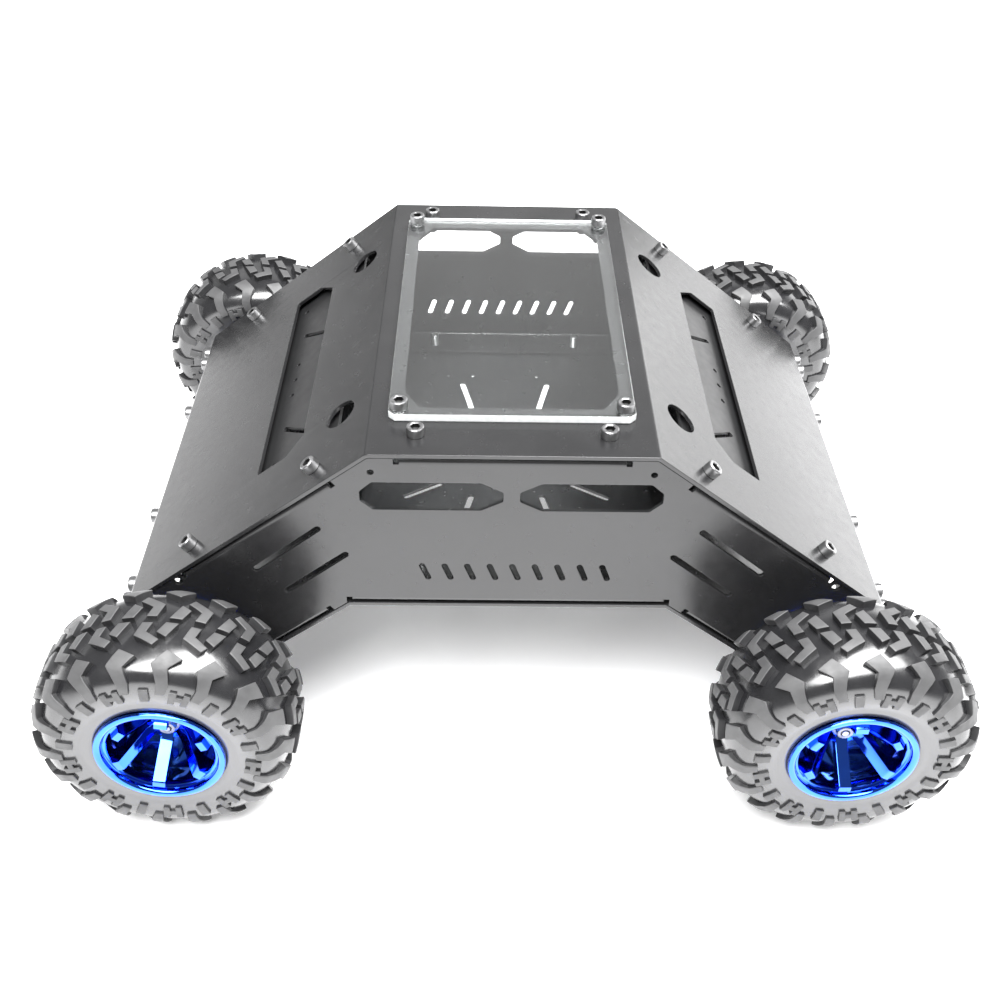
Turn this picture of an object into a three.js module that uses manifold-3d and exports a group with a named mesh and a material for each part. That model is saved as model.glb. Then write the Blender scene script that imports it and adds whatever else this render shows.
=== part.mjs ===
// Four-wheel-drive robot chassis: a folded sheet-metal body with sloping hoods and an arched belly,
// a clear window screwed on its roof, four gearmotors inside and four knobbly wheels.
// Millimetres. +X is forwards, +Y is to the left, +Z is up, and the origin is on the ground
// under the middle of the body.
import * as THREE from "three";
import { mergeVertices } from "three/addons/utils/BufferGeometryUtils.js";
import Module from "manifold-3d";

const wasm = await Module();
wasm.setup();

// ---- Driving dimensions -------------------------------------------------------------------

const GAP = 0.3; // kept between pieces that touch
const SHEET = 2; // thickness of every folded plate

// Body, seen from its side
const ROOF_HALF_LENGTH = 68;
const ROOF_Z = 196.4;
const HOOD_END_X = 194.3;
const HOOD_END_Z = 98.4;
const END_WALL_LOW_Z = 52;
const BELLY_HALF_LENGTH = 81.6;
const BELLY_Z = 100.6;
const FOOT_Z = 40.6; // underside of the legs
const FOOT_CORNER = 9; // cut across the lowest outer corner of a leg
const BODY_HALF_WIDTH = 126;
const SIDE_OUTER_Y = 125.5;
const FLANGE_WIDTH = 24;

// Wheels and drive
const WHEEL_X = 168.4;
const WHEEL_MID_Y = 167;
const TYRE_RADIUS = 65;
const TYRE_HALF_WIDTH = 30;
const TYRE_WALL = 5;
const RIM_BORE_RADIUS = 28;
const RIM_BARREL_RADIUS = 30.2;
const RIM_LIP_RADIUS = 31.7;
const RIM_LIP_WIDTH = 1.7;
const SPOKES = 6;
const WHEEL_DISC = { inner: 1, outer: 8, radius: 11 };
const GEARBOX_RADIUS = 18.5;
const GEARBOX_LENGTH = 24;
const GEARBOX_OFFSET = 7; // from the output shaft to the gearbox's own axis
const CAN_RADIUS = 17.5;
const CAN_LENGTH = 30;
const SHAFT_RADIUS = 3;
const BOSS_RADIUS = 6;
const BOSS_END_Y = 128;

// Roof window
const WINDOW_HALF = { x: 59.1, y: 100.1 };
const WINDOW_THICKNESS = 4;
const WINDOW_CORNER = 3;
const WINDOW_SCREW = { x: 54, y: 94.6 };
const ROOF_OPENING = { x: 52.3, y: 91.3, cutX: 8, cutY: 13 };

// Fasteners: socket cap screws
const HEAD_RADIUS = 4.25;
const HEAD_HEIGHT = 5;
const HEX_RADIUS = 2.3;
const SHANK_RADIUS = 2.4;
const SCREW_HOLE_RADIUS = 2.75;
const SCREW_LINE_Y = 110;
const ROOF_SCREW_X = 45.6;
const HOOD_SCREWS = [34.5, 117.5]; // distances down the hood from the roof's edge
const END_SCREW = { y: 104, z: 91 };

// Openings, in each plate's own plane; along the hoods x is measured down from the roof's edge
const HOOD_OPENING = { top: 46.5, bottom: 76.5, halfWidth: 84, cut: 11 };
const HOOD_HOLE = { x: 21.2, y: 77, radius: 9 };
const SIDE_WINDOW = { inner: 4, outer: 72, low: 163, high: 179.6, innerCut: 10.5, outerCut: 6 };
const LEG_SLOTS = [
  { from: [93.6, 150], to: [126, 123.2] },
  { from: [81, 133.5], to: [111.7, 108.7] },
];
const LEG_SLOT_WIDTH = 3.4;
const VENT = { count: 9, pitch: 11.2, middleX: -2.8, z: 122.6, length: 11.5, width: 3, lean: 0.35 };
const ROOF_PIN = { x: 66.2, z: 185.7, radius: 1.6 }; // small round holes of a side plate
const LEG_PIN = { x: 165.8, z: 114, radius: 2.2 };
const BELLY_SLOTS = [
  { from: [20, 40], to: [26.8, 69] },
  { from: [38, 29], to: [56.5, 40.5] },
];
const BELLY_SLOT_WIDTH = 3.4;
const BELLY_PIN = { x: 20.4, y: 78, radius: 1.6 };

// Plate under each hood: its extent and its holes, x measured down the hood
const BRACE = { from: 27, to: 124, halfWidth: 121, corner: 4 };
const BRACE_PIN = { x: 72, y: 75.5, radius: 1.7 };
const BRACE_ROW = { x: 69, y: [-15, 0, 15], radius: 1.5 };
const BRACE_SLOTS = [[34.5, 45.5], [-61, -46.5]]; // y at the upper and at the lower end of each
const BRACE_SLOT = { top: 52, bottom: 68.4, width: 3 };

// Folded-in flanges of a side plate: how far each one runs, and the notches at its ends
const ROOF_FLANGE_HALF = 52.8;
const BELLY_FLANGE_HALF = BELLY_HALF_LENGTH - 2;
const HOOD_FLANGE = [25.5, 140]; // distances down the hood
const WING_FLANGE = [88, 12]; // distances down the leg's inner edge
const END_FLANGE = [94, 56]; // heights
const NOTCH = { width: 3, height: 7, offset: 1.5 };

// Screw lengths under the head
const LONG_SCREW = 14;
const SHORT_SCREW = 12;
const END_SCREW_LENGTH = 10;
const HEX_DEPTH = 2.5;
const HEAD_EDGE = 0.4;

// Sizes inside a wheel
const SPOKE = { thickness: 3, width: 5 };
const COUPLER = { radius: 9, length: 24.5, hexRadius: 6.9 };
const STUD = { radius: 2.2, from: -2, to: 15 };
const STUD_HOLE_RADIUS = 2.5;
const NUT = { radius: 4.6, height: 4 };
const SHAFT_IN_BOX = 15;
const SHAFT_END = -20.5;
const SHAFT_CLEARANCE = 0.1;
const CAN_REAR_BOSS = { radius: 5, height: 3 };
const CAN_EDGE = 1.5;

// ---- Colours ------------------------------------------------------------------------------

const looks = {
  blackSheet: { color: 0x2e2f31, roughness: 0.35, metalness: 0.4 },
  clear: { color: 0xe8eef0, roughness: 0.05, metalness: 0, transparent: true, opacity: 0.3 },
  zinc: { color: 0xb9bbbd, roughness: 0.35, metalness: 0.9 },
  rubber: { color: 0x2b2b2d, roughness: 0.7, metalness: 0 },
  blueChrome: { color: 0x1030d8, roughness: 0.12, metalness: 0.9 },
  steel: { color: 0x8d9094, roughness: 0.4, metalness: 0.9 },
  can: { color: 0xa7a9ab, roughness: 0.35, metalness: 0.9 },
};

// ---- Shape helpers ------------------------------------------------------------------------

function solid(geometry) {
  const bare = geometry.clone();
  bare.deleteAttribute("normal");
  bare.deleteAttribute("uv");
  const merged = mergeVertices(bare, 1e-3);
  return new wasm.Manifold(
    new wasm.Mesh({
      numProp: 3,
      vertProperties: merged.attributes.position.array,
      triVerts: new Uint32Array(merged.index.array),
    }),
  );
}

function geometryOf(body) {
  const mesh = body.getMesh();
  const geometry = new THREE.BufferGeometry();
  const positions = new Float32Array(mesh.vertProperties);
  geometry.setAttribute("position", new THREE.BufferAttribute(positions, 3));
  geometry.setIndex(new THREE.BufferAttribute(new Uint32Array(mesh.triVerts), 1));
  const flat = geometry.toNonIndexed();
  flat.computeVertexNormals();
  return flat;
}

// Joins the geometries of one list and cuts away those of another.
function carve(joined, cut = []) {
  let body = joined.map(solid).reduce((a, b) => a.add(b));
  for (const cutter of cut) body = body.subtract(solid(cutter));
  return geometryOf(body);
}

function mesh(name, geometry, look) {
  const made = new THREE.Mesh(geometry, new THREE.MeshStandardMaterial(look));
  made.name = name;
  return made;
}

const point = (x, y) => new THREE.Vector2(x, y);

function outline(points) {
  return new THREE.Shape(points);
}

// An outline in the X-Z plane drawn out along Y, from one y to another.
function acrossBody(shape, fromY, toY) {
  const geometry = new THREE.ExtrudeGeometry(shape, { depth: toY - fromY, bevelEnabled: false });
  return geometry.rotateX(Math.PI / 2).translate(0, toY, 0);
}

// An outline in a plate's own plane drawn out through the plate, from one depth to another.
function throughPlate(shape, low, high) {
  const geometry = new THREE.ExtrudeGeometry(shape, { depth: high - low, bevelEnabled: false });
  return geometry.translate(0, 0, low);
}

// A polyline moved sideways, to the left of its direction, with mitred corners.
function shifted(points, distance) {
  return points.map((p, i) => {
    const before = points[Math.max(i - 1, 0)];
    const after = points[Math.min(i + 1, points.length - 1)];
    const into = (i === 0 ? after.clone().sub(p) : p.clone().sub(before)).normalize();
    const out = (i === points.length - 1 ? into.clone() : after.clone().sub(p)).normalize();
    const normalIn = point(-into.y, into.x);
    const normalOut = point(-out.y, out.x);
    const middle = normalIn.clone().add(normalOut).normalize();
    return p.clone().addScaledVector(middle, distance / middle.dot(normalIn));
  });
}

// The band between a polyline shifted by one distance and the same one shifted by another.
function band(points, near, far) {
  return outline([...shifted(points, near), ...shifted(points, far).reverse()]);
}

function mirroredLine(half) {
  const left = half.map((p) => point(-p.x, p.y)).reverse();
  return [...left, ...half];
}

// A rectangle centred on a point, its corners cut by cutX along x and cutY along y.
function cutRectangle(centreX, halfX, halfY, cutX, cutY = cutX) {
  const corners = [];
  for (const [sx, sy] of [[1, -1], [1, 1], [-1, 1], [-1, -1]]) {
    const first = point(centreX + sx * halfX, sy * (halfY - cutY));
    const second = point(centreX + sx * (halfX - cutX), sy * halfY);
    corners.push(...(sx * sy < 0 ? [second, first] : [first, second]));
  }
  return outline(corners);
}

// A straight slot with round ends, as an outline or as a hole.
function slot(kind, [fromX, fromY], [toX, toY], width) {
  const angle = Math.atan2(toY - fromY, toX - fromX);
  const made = new kind();
  made.absarc(fromX, fromY, width / 2, angle + Math.PI / 2, angle + 1.5 * Math.PI, false);
  made.absarc(toX, toY, width / 2, angle - Math.PI / 2, angle + Math.PI / 2, false);
  made.closePath();
  return new kind(made.getPoints(2));
}

// A cylinder along local Z, from one height to another.
function post(radius, low, high, sides = 16) {
  const geometry = new THREE.CylinderGeometry(radius, radius, high - low, sides);
  return geometry.rotateX(Math.PI / 2).translate(0, 0, (low + high) / 2);
}

// A cylinder along Y, from one y to another.
function rod(radius, fromY, toY, sides = 12) {
  const geometry = new THREE.CylinderGeometry(radius, radius, toY - fromY, sides);
  return geometry.translate(0, (fromY + toY) / 2, 0);
}

// The four corners of a rectangle, as sign pairs.
const CORNERS = [[1, 1], [-1, 1], [-1, -1], [1, -1]];

// A geometry at the front and its copy at the rear, turned half round.
function bothEnds(geometry) {
  return [geometry, geometry.clone().rotateZ(Math.PI)];
}

// ---- Lines of the body, seen from its side --------------------------------------------------

const HOOD_ANGLE = Math.atan2(ROOF_Z - HOOD_END_Z, HOOD_END_X - ROOF_HALF_LENGTH);
const FOOT_INNER_X = BELLY_HALF_LENGTH + (BELLY_Z - FOOT_Z) / Math.tan(HOOD_ANGLE);
const SIDE_END_X = HOOD_END_X - SHEET - GAP;
const FOOT_OUTER_X = SIDE_END_X - FOOT_CORNER;

const coverLine = mirroredLine([
  point(ROOF_HALF_LENGTH, ROOF_Z),
  point(HOOD_END_X, HOOD_END_Z),
  point(HOOD_END_X, END_WALL_LOW_Z),
]);

const bellyLine = mirroredLine([
  point(BELLY_HALF_LENGTH, BELLY_Z),
  point(FOOT_INNER_X, FOOT_Z),
  point(FOOT_OUTER_X, FOOT_Z),
]);

// Moves a shape from the hood's own plane, x down the slope and z out of it, to the front hood.
function onHood(geometry) {
  return geometry.rotateY(HOOD_ANGLE).translate(ROOF_HALF_LENGTH, 0, ROOF_Z);
}

// ---- Folded plates ------------------------------------------------------------------------

// How far the cutters of a hole reach below and above the face that it goes through.
const CUT_BELOW = 6;
const CUT_ABOVE = 5;

function hoodScrewHoles(low, high) {
  const holes = [];
  for (const x of HOOD_SCREWS) {
    for (const side of [1, -1]) {
      const hole = post(SCREW_HOLE_RADIUS, low, high, 8).translate(x, side * SCREW_LINE_Y, 0);
      holes.push(...bothEnds(onHood(hole)));
    }
  }
  return holes;
}

function hoodOpening() {
  const { top, bottom, halfWidth, cut } = HOOD_OPENING;
  return outline([
    point(top, -halfWidth + cut),
    point(top + cut, -halfWidth),
    point(bottom, -halfWidth),
    point(bottom, halfWidth),
    point(top + cut, halfWidth),
    point(top, halfWidth - cut),
  ]);
}

function endScrewHoles(side) {
  const geometry = post(SCREW_HOLE_RADIUS, -2 * CUT_ABOVE, CUT_ABOVE, 8).rotateY(Math.PI / 2);
  return bothEnds(geometry.translate(HOOD_END_X, side * END_SCREW.y, END_SCREW.z));
}

function topCover() {
  const sheet = acrossBody(band(coverLine, 0, -SHEET), -BODY_HALF_WIDTH, BODY_HALF_WIDTH);
  const { x, y, cutX, cutY } = ROOF_OPENING;
  const low = ROOF_Z - CUT_BELOW;
  const high = ROOF_Z + CUT_ABOVE;
  const cuts = [
    throughPlate(cutRectangle(0, x, y, cutX, cutY), low, high),
    ...bothEnds(onHood(throughPlate(hoodOpening(), -CUT_BELOW, CUT_ABOVE))),
    ...hoodScrewHoles(-CUT_BELOW, CUT_ABOVE),
    ...endScrewHoles(1),
    ...endScrewHoles(-1),
  ];
  for (const [sx, sy] of CORNERS) {
    const roofHole = post(SCREW_HOLE_RADIUS, low, high, 8);
    cuts.push(roofHole.clone().translate(sx * ROOF_SCREW_X, sy * SCREW_LINE_Y, 0));
    cuts.push(roofHole.translate(sx * WINDOW_SCREW.x, sy * WINDOW_SCREW.y, 0));
  }
  for (const side of [1, -1]) {
    const hole = post(HOOD_HOLE.radius, -CUT_BELOW, CUT_ABOVE, 20);
    cuts.push(...bothEnds(onHood(hole.translate(HOOD_HOLE.x, side * HOOD_HOLE.y, 0))));
  }
  return mesh("top_cover", carve([sheet], cuts), looks.blackSheet);
}

function bellyPlate() {
  const line = band(bellyLine, -GAP, -GAP - SHEET);
  const sheet = acrossBody(line, -SIDE_OUTER_Y, SIDE_OUTER_Y);
  const low = BELLY_Z - CUT_BELOW;
  const high = BELLY_Z + CUT_ABOVE;
  const cuts = [];
  for (const [sx, sy] of CORNERS) {
    for (const { from, to } of BELLY_SLOTS) {
      const ends = [from, to].map(([x, y]) => [sx * x, sy * y]);
      cuts.push(throughPlate(slot(THREE.Shape, ...ends, BELLY_SLOT_WIDTH), low, high));
    }
    const pin = post(BELLY_PIN.radius, low, high, 6);
    cuts.push(pin.translate(sx * BELLY_PIN.x, sy * BELLY_PIN.y, 0));
    const screwHole = post(SCREW_HOLE_RADIUS, low, high, 8);
    cuts.push(screwHole.translate(sx * ROOF_SCREW_X, sy * SCREW_LINE_Y, 0));
  }
  return mesh("belly_plate", carve([sheet], cuts), looks.blackSheet);
}

// Plate under a hood that ties the two side plates together, with holes for fittings.
function hoodBrace(name, turn) {
  const { from, to, halfWidth, corner } = BRACE;
  const sheet = cutRectangle((from + to) / 2, (to - from) / 2, halfWidth, corner);
  const top = -2 * (SHEET + GAP);
  const plate = throughPlate(sheet, top - SHEET, top);
  const low = top - SHEET - 2;
  const high = top + 2;
  const cuts = [];
  for (const side of [1, -1]) {
    const pin = post(BRACE_PIN.radius, low, high, 6);
    cuts.push(pin.translate(BRACE_PIN.x, side * BRACE_PIN.y, 0));
    for (const x of HOOD_SCREWS) {
      cuts.push(post(SCREW_HOLE_RADIUS, low, high, 8).translate(x, side * SCREW_LINE_Y, 0));
    }
  }
  for (const y of BRACE_ROW.y) {
    cuts.push(post(BRACE_ROW.radius, low, high, 6).translate(BRACE_ROW.x, y, 0));
  }
  const left = turn ? -1 : 1; // the rear brace is the front one's mirror image
  const { top: slotTop, bottom, width } = BRACE_SLOT;
  for (const [fromY, toY] of BRACE_SLOTS) {
    const shape = slot(THREE.Shape, [slotTop, left * fromY], [bottom, left * toY], width);
    cuts.push(throughPlate(shape, low, high));
  }
  const made = mesh(name, carve([plate], cuts), looks.blackSheet);
  made.position.set(ROOF_HALF_LENGTH, 0, ROOF_Z);
  made.rotation.y = HOOD_ANGLE;
  return turned(turn, made);
}

function turned(angle, ...children) {
  const group = new THREE.Group();
  group.rotation.z = angle;
  group.add(...children);
  return group;
}

// ---- Side plates --------------------------------------------------------------------------

const skinLine = shifted(coverLine, -SHEET - GAP);

function sideOutline() {
  const top = skinLine.slice(1, -1);
  const low = [
    point(SIDE_END_X, FOOT_Z + FOOT_CORNER),
    ...bellyLine.slice().reverse(),
    point(-SIDE_END_X, FOOT_Z + FOOT_CORNER),
  ];
  return [...top, ...low].reverse();
}

function sideWindow(mirror) {
  const { inner, outer, low, high, innerCut, outerCut } = SIDE_WINDOW;
  const cutZ = (high - low) / 3;
  const corners = [
    [inner, low + cutZ],
    [inner + innerCut, low],
    [outer - outerCut, low],
    [outer, low + cutZ],
    [outer, high - cutZ],
    [outer - outerCut, high],
    [inner + innerCut, high],
    [inner, high - cutZ],
  ];
  return new THREE.Path(corners.map(([x, z]) => point(mirror * x, z)));
}

function roundHole(x, z, radius, sides = 8) {
  const hole = new THREE.Path();
  hole.absarc(x, z, radius, 0, 2 * Math.PI, false);
  return new THREE.Path(hole.getPoints(sides / 2).slice(0, -1));
}

function ventHoles() {
  const { count, pitch, middleX, z, length, width, lean } = VENT;
  const half = (length - width) / 2;
  const holes = [];
  for (let i = 0; i < count; i++) {
    const x = middleX + (i - (count - 1) / 2) * pitch;
    const shift = half * Math.sin(lean);
    const rise = half * Math.cos(lean);
    holes.push(slot(THREE.Path, [x - shift, z - rise], [x + shift, z + rise], width));
  }
  return holes;
}

// One folded-in flange: a strip inside the web's edge, running from one point of it to another.
function flange(from, to) {
  const a = point(...from);
  const b = point(...to);
  const along = b.clone().sub(a).normalize();
  const inward = point(along.y, -along.x).multiplyScalar(SHEET);
  const shape = outline([a, b, b.clone().add(inward), a.clone().add(inward)]);
  return acrossBody(shape, SIDE_OUTER_Y - FLANGE_WIDTH, SIDE_OUTER_Y - SHEET / 2);
}

// A point on a slope line, at a distance down it from its upper end.
function downSlope(start, distance) {
  const x = start.x + distance * Math.cos(HOOD_ANGLE);
  return [x, start.y - distance * Math.sin(HOOD_ANGLE)];
}

// The flanges of the front half, each with the relief notches at its two ends.
function flangeEnds() {
  const roofEdge = skinLine[skinLine.length - 3];
  const bellyEdge = point(BELLY_HALF_LENGTH, BELLY_Z);
  return {
    hood: HOOD_FLANGE.map((distance) => downSlope(roofEdge, distance)),
    wing: WING_FLANGE.map((distance) => downSlope(bellyEdge, distance)),
    end: END_FLANGE.map((z) => [SIDE_END_X, z]),
  };
}

// The flat part of a side plate with its holes.
function sideWeb() {
  const web = outline(sideOutline());
  web.holes.push(...ventHoles());
  for (const mirror of [1, -1]) {
    web.holes.push(sideWindow(mirror));
    web.holes.push(roundHole(mirror * ROOF_PIN.x, ROOF_PIN.z, ROOF_PIN.radius));
    web.holes.push(roundHole(mirror * LEG_PIN.x, LEG_PIN.z, LEG_PIN.radius));
    web.holes.push(roundHole(mirror * WHEEL_X, TYRE_RADIUS, BOSS_RADIUS + 2 * GAP, 16));
    for (const { from, to } of LEG_SLOTS) {
      const ends = [from, to].map(([x, z]) => [mirror * x, z]);
      web.holes.push(slot(THREE.Path, ...ends, LEG_SLOT_WIDTH));
    }
  }
  return acrossBody(web, SIDE_OUTER_Y - SHEET, SIDE_OUTER_Y);
}

function sideFlanges() {
  const roofZ = skinLine[2].y;
  const { hood, wing, end } = flangeEnds();
  const all = [
    flange([-ROOF_FLANGE_HALF, roofZ], [ROOF_FLANGE_HALF, roofZ]),
    flange([BELLY_FLANGE_HALF, BELLY_Z], [-BELLY_FLANGE_HALF, BELLY_Z]),
  ];
  for (const [from, to] of [hood, end, wing]) {
    all.push(flange(from, to));
    all.push(flange([-to[0], to[1]], [-from[0], from[1]]));
  }
  return all;
}

function reliefNotches() {
  const { hood, wing } = flangeEnds();
  const places = [
    [ROOF_FLANGE_HALF + NOTCH.offset, skinLine[2].y],
    [BELLY_FLANGE_HALF + NOTCH.offset, BELLY_Z],
    hood[0],
    wing[1],
  ];
  const cuts = [];
  for (const [x, z] of places) {
    for (const mirror of [1, -1]) {
      const notch = new THREE.BoxGeometry(NOTCH.width, 3 * SHEET, NOTCH.height);
      cuts.push(notch.translate(mirror * x, SIDE_OUTER_Y - SHEET / 2, z));
    }
  }
  return cuts;
}

function sidePlate(name, turn) {
  const cuts = [
    ...hoodScrewHoles(-CUT_BELOW - SHEET, CUT_ABOVE),
    ...endScrewHoles(1),
    ...endScrewHoles(-1),
    ...reliefNotches(),
  ];
  for (const sx of [1, -1]) {
    const hole = post(SCREW_HOLE_RADIUS, BELLY_Z - CUT_BELOW, ROOF_Z + CUT_ABOVE, 8);
    cuts.push(hole.translate(sx * ROOF_SCREW_X, SCREW_LINE_Y, 0));
  }
  const plate = carve([sideWeb(), ...sideFlanges()], cuts);
  return turned(turn, mesh(name, plate, looks.blackSheet));
}

// ---- Window and fasteners -----------------------------------------------------------------

function windowPane() {
  const shape = cutRectangle(0, WINDOW_HALF.x, WINDOW_HALF.y, WINDOW_CORNER);
  const low = ROOF_Z + GAP;
  const high = low + WINDOW_THICKNESS;
  const holes = CORNERS.map(([sx, sy]) =>
    post(SCREW_HOLE_RADIUS, low - 1, high + 1, 8).translate(
      sx * WINDOW_SCREW.x,
      sy * WINDOW_SCREW.y,
      0,
    ),
  );
  return mesh("window_pane", carve([throughPlate(shape, low, high)], holes), looks.clear);
}

// A socket cap screw along local Z: the head stands on z = 0 and the shank goes down from it.
function screwGeometry(length) {
  const profile = [
    point(0, -length),
    point(SHANK_RADIUS, -length),
    point(SHANK_RADIUS, 0),
    point(HEAD_RADIUS, 0),
    point(HEAD_RADIUS, HEAD_HEIGHT - HEAD_EDGE),
    point(HEAD_RADIUS - HEAD_EDGE, HEAD_HEIGHT),
    point(0, HEAD_HEIGHT),
  ];
  const body = new THREE.LatheGeometry(profile, 8).rotateX(Math.PI / 2);
  return carve([body], [post(HEX_RADIUS, HEAD_HEIGHT - HEX_DEPTH, HEAD_HEIGHT + 1, 6)]);
}

function screw(name, length, x, y) {
  const made = mesh(name, screwGeometry(length), looks.zinc);
  made.position.set(x, y, GAP);
  return made;
}

// A group whose XY plane is a face of the body: z points out of the face.
function face(x, z, tilt) {
  const group = new THREE.Group();
  group.position.set(x, 0, z);
  group.rotation.y = tilt;
  return group;
}

function fasteners() {
  const all = new THREE.Group();
  const glass = face(0, ROOF_Z + WINDOW_THICKNESS + GAP, 0);
  const roof = face(0, ROOF_Z, 0);
  const belly = face(0, BELLY_Z - SHEET - GAP, Math.PI);
  CORNERS.forEach(([sx, sy], i) => {
    const corner = i + 1;
    const onLine = [sx * ROOF_SCREW_X, sy * SCREW_LINE_Y];
    glass.add(screw(`window_screw_${corner}`, LONG_SCREW, sx * WINDOW_SCREW.x, sy * WINDOW_SCREW.y));
    roof.add(screw(`roof_screw_${corner}`, SHORT_SCREW, ...onLine));
    belly.add(screw(`belly_screw_${corner}`, SHORT_SCREW, ...onLine));
  });
  all.add(glass, roof, belly);
  for (const [end, turn] of [["front", 0], ["rear", Math.PI]]) {
    const hood = face(ROOF_HALF_LENGTH, ROOF_Z, HOOD_ANGLE);
    const wall = face(HOOD_END_X, END_SCREW.z, Math.PI / 2);
    for (const [side, y] of [["left", 1], ["right", -1]]) {
      const seenSide = turn ? -y : y;
      const label = `${end}_${side}`;
      HOOD_SCREWS.forEach((x, i) => {
        const row = i ? "lower" : "upper";
        hood.add(screw(`hood_screw_${row}_${label}`, LONG_SCREW, x, seenSide * SCREW_LINE_Y));
      });
      wall.add(screw(`end_screw_${label}`, END_SCREW_LENGTH, 0, seenSide * END_SCREW.y));
    }
    all.add(turned(turn, hood, wall));
  }
  return all;
}

// ---- Wheels and drive: along local Y, with the outside of the vehicle towards +Y -------------

// Half of the tyre's outer profile, as radii and distances from its middle.
const TYRE_PROFILE = [
  [TYRE_RADIUS, 11],
  [TYRE_RADIUS - 3, 22],
  [TYRE_RADIUS - 9.5, 28.3],
  [TYRE_RADIUS - 18, TYRE_HALF_WIDTH],
  [TYRE_RADIUS - 27, TYRE_HALF_WIDTH - 0.6],
  [RIM_BARREL_RADIUS + 0.4, TYRE_HALF_WIDTH - 2.2],
];

function tyreGeometry() {
  const outer = [
    ...TYRE_PROFILE.map(([r, y]) => point(r, -y)).reverse(),
    ...TYRE_PROFILE.map(([r, y]) => point(r, y)),
  ];
  const wall = TYRE_HALF_WIDTH - TYRE_WALL;
  const inner = [
    point(RIM_BARREL_RADIUS + 0.4, wall - 2),
    point(TYRE_RADIUS - 18, wall),
    point(TYRE_RADIUS - TYRE_WALL - 1, wall - 9),
  ];
  const lining = [...inner, ...inner.map((p) => point(p.x, -p.y)).reverse()];
  return new THREE.LatheGeometry([...outer, ...lining, outer[0].clone()], 28);
}

function spokeGeometry(index) {
  const outer = point(RIM_BORE_RADIUS + 1, TYRE_HALF_WIDTH - 5);
  const inner = point(WHEEL_DISC.radius - 2, WHEEL_DISC.outer - 2);
  const along = outer.clone().sub(inner);
  const spoke = new THREE.BoxGeometry(along.length(), SPOKE.thickness, SPOKE.width);
  spoke.rotateZ(Math.atan2(along.y, along.x));
  spoke.translate((outer.x + inner.x) / 2, (outer.y + inner.y) / 2, 0);
  return spoke.rotateY(((index + 0.5) * 2 * Math.PI) / SPOKES);
}

function rimGeometry() {
  const end = TYRE_HALF_WIDTH;
  const lip = TYRE_HALF_WIDTH - RIM_LIP_WIDTH;
  const half = [
    [RIM_LIP_RADIUS, end],
    [RIM_LIP_RADIUS, lip],
    [RIM_BARREL_RADIUS, lip],
  ];
  const profile = [
    point(RIM_BORE_RADIUS, -end),
    ...half.map(([r, y]) => point(r, -y)),
    ...half.map(([r, y]) => point(r, y)).reverse(),
    point(RIM_BORE_RADIUS, end),
    point(RIM_BORE_RADIUS, -end),
  ];
  const parts = [
    new THREE.LatheGeometry(profile, 24),
    rod(WHEEL_DISC.radius, WHEEL_DISC.inner, WHEEL_DISC.outer),
  ];
  for (let i = 0; i < SPOKES; i++) parts.push(spokeGeometry(i));
  return carve(parts, [rod(STUD_HOLE_RADIUS, -STUD.to, STUD.to)]);
}

// Couples the motor's shaft to the wheel: a round body, a hexagon and a threaded nose.
function hubGeometry() {
  const inside = BOSS_END_Y + 0.5 - WHEEL_MID_Y;
  const roundEnd = inside + COUPLER.length;
  const parts = [
    rod(COUPLER.radius, inside, roundEnd),
    rod(COUPLER.hexRadius, roundEnd - 1, WHEEL_DISC.inner - GAP, 6),
    rod(STUD.radius, STUD.from, STUD.to),
  ];
  return carve(parts, [rod(SHAFT_RADIUS + SHAFT_CLEARANCE, inside - 1, SHAFT_END + 0.5)]);
}

function nutGeometry() {
  const low = WHEEL_DISC.outer + GAP;
  const high = low + NUT.height;
  return carve([rod(NUT.radius, low, high, 6)], [rod(STUD_HOLE_RADIUS, low - 1, high + 1)]);
}

function gearboxGeometry(offsetX, offsetZ) {
  const front = SIDE_OUTER_Y - SHEET - GAP - WHEEL_MID_Y;
  const bossEnd = BOSS_END_Y - WHEEL_MID_Y;
  const parts = [
    rod(GEARBOX_RADIUS, front - GEARBOX_LENGTH, front, 20).translate(offsetX, 0, offsetZ),
    rod(BOSS_RADIUS, front - 1, bossEnd),
  ];
  const bore = rod(SHAFT_RADIUS + SHAFT_CLEARANCE, bossEnd - SHAFT_IN_BOX - 1, bossEnd + 1);
  return carve(parts, [bore]);
}

function canGeometry() {
  const front = SIDE_OUTER_Y - SHEET - 2 * GAP - WHEEL_MID_Y - GEARBOX_LENGTH;
  const back = front - CAN_LENGTH;
  const profile = [
    point(0, back - CAN_REAR_BOSS.height),
    point(CAN_REAR_BOSS.radius, back - CAN_REAR_BOSS.height),
    point(CAN_REAR_BOSS.radius, back),
    point(CAN_RADIUS - CAN_EDGE, back),
    point(CAN_RADIUS, back + CAN_EDGE),
    point(CAN_RADIUS, front),
    point(0, front),
  ];
  return new THREE.LatheGeometry(profile, 16);
}

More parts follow.
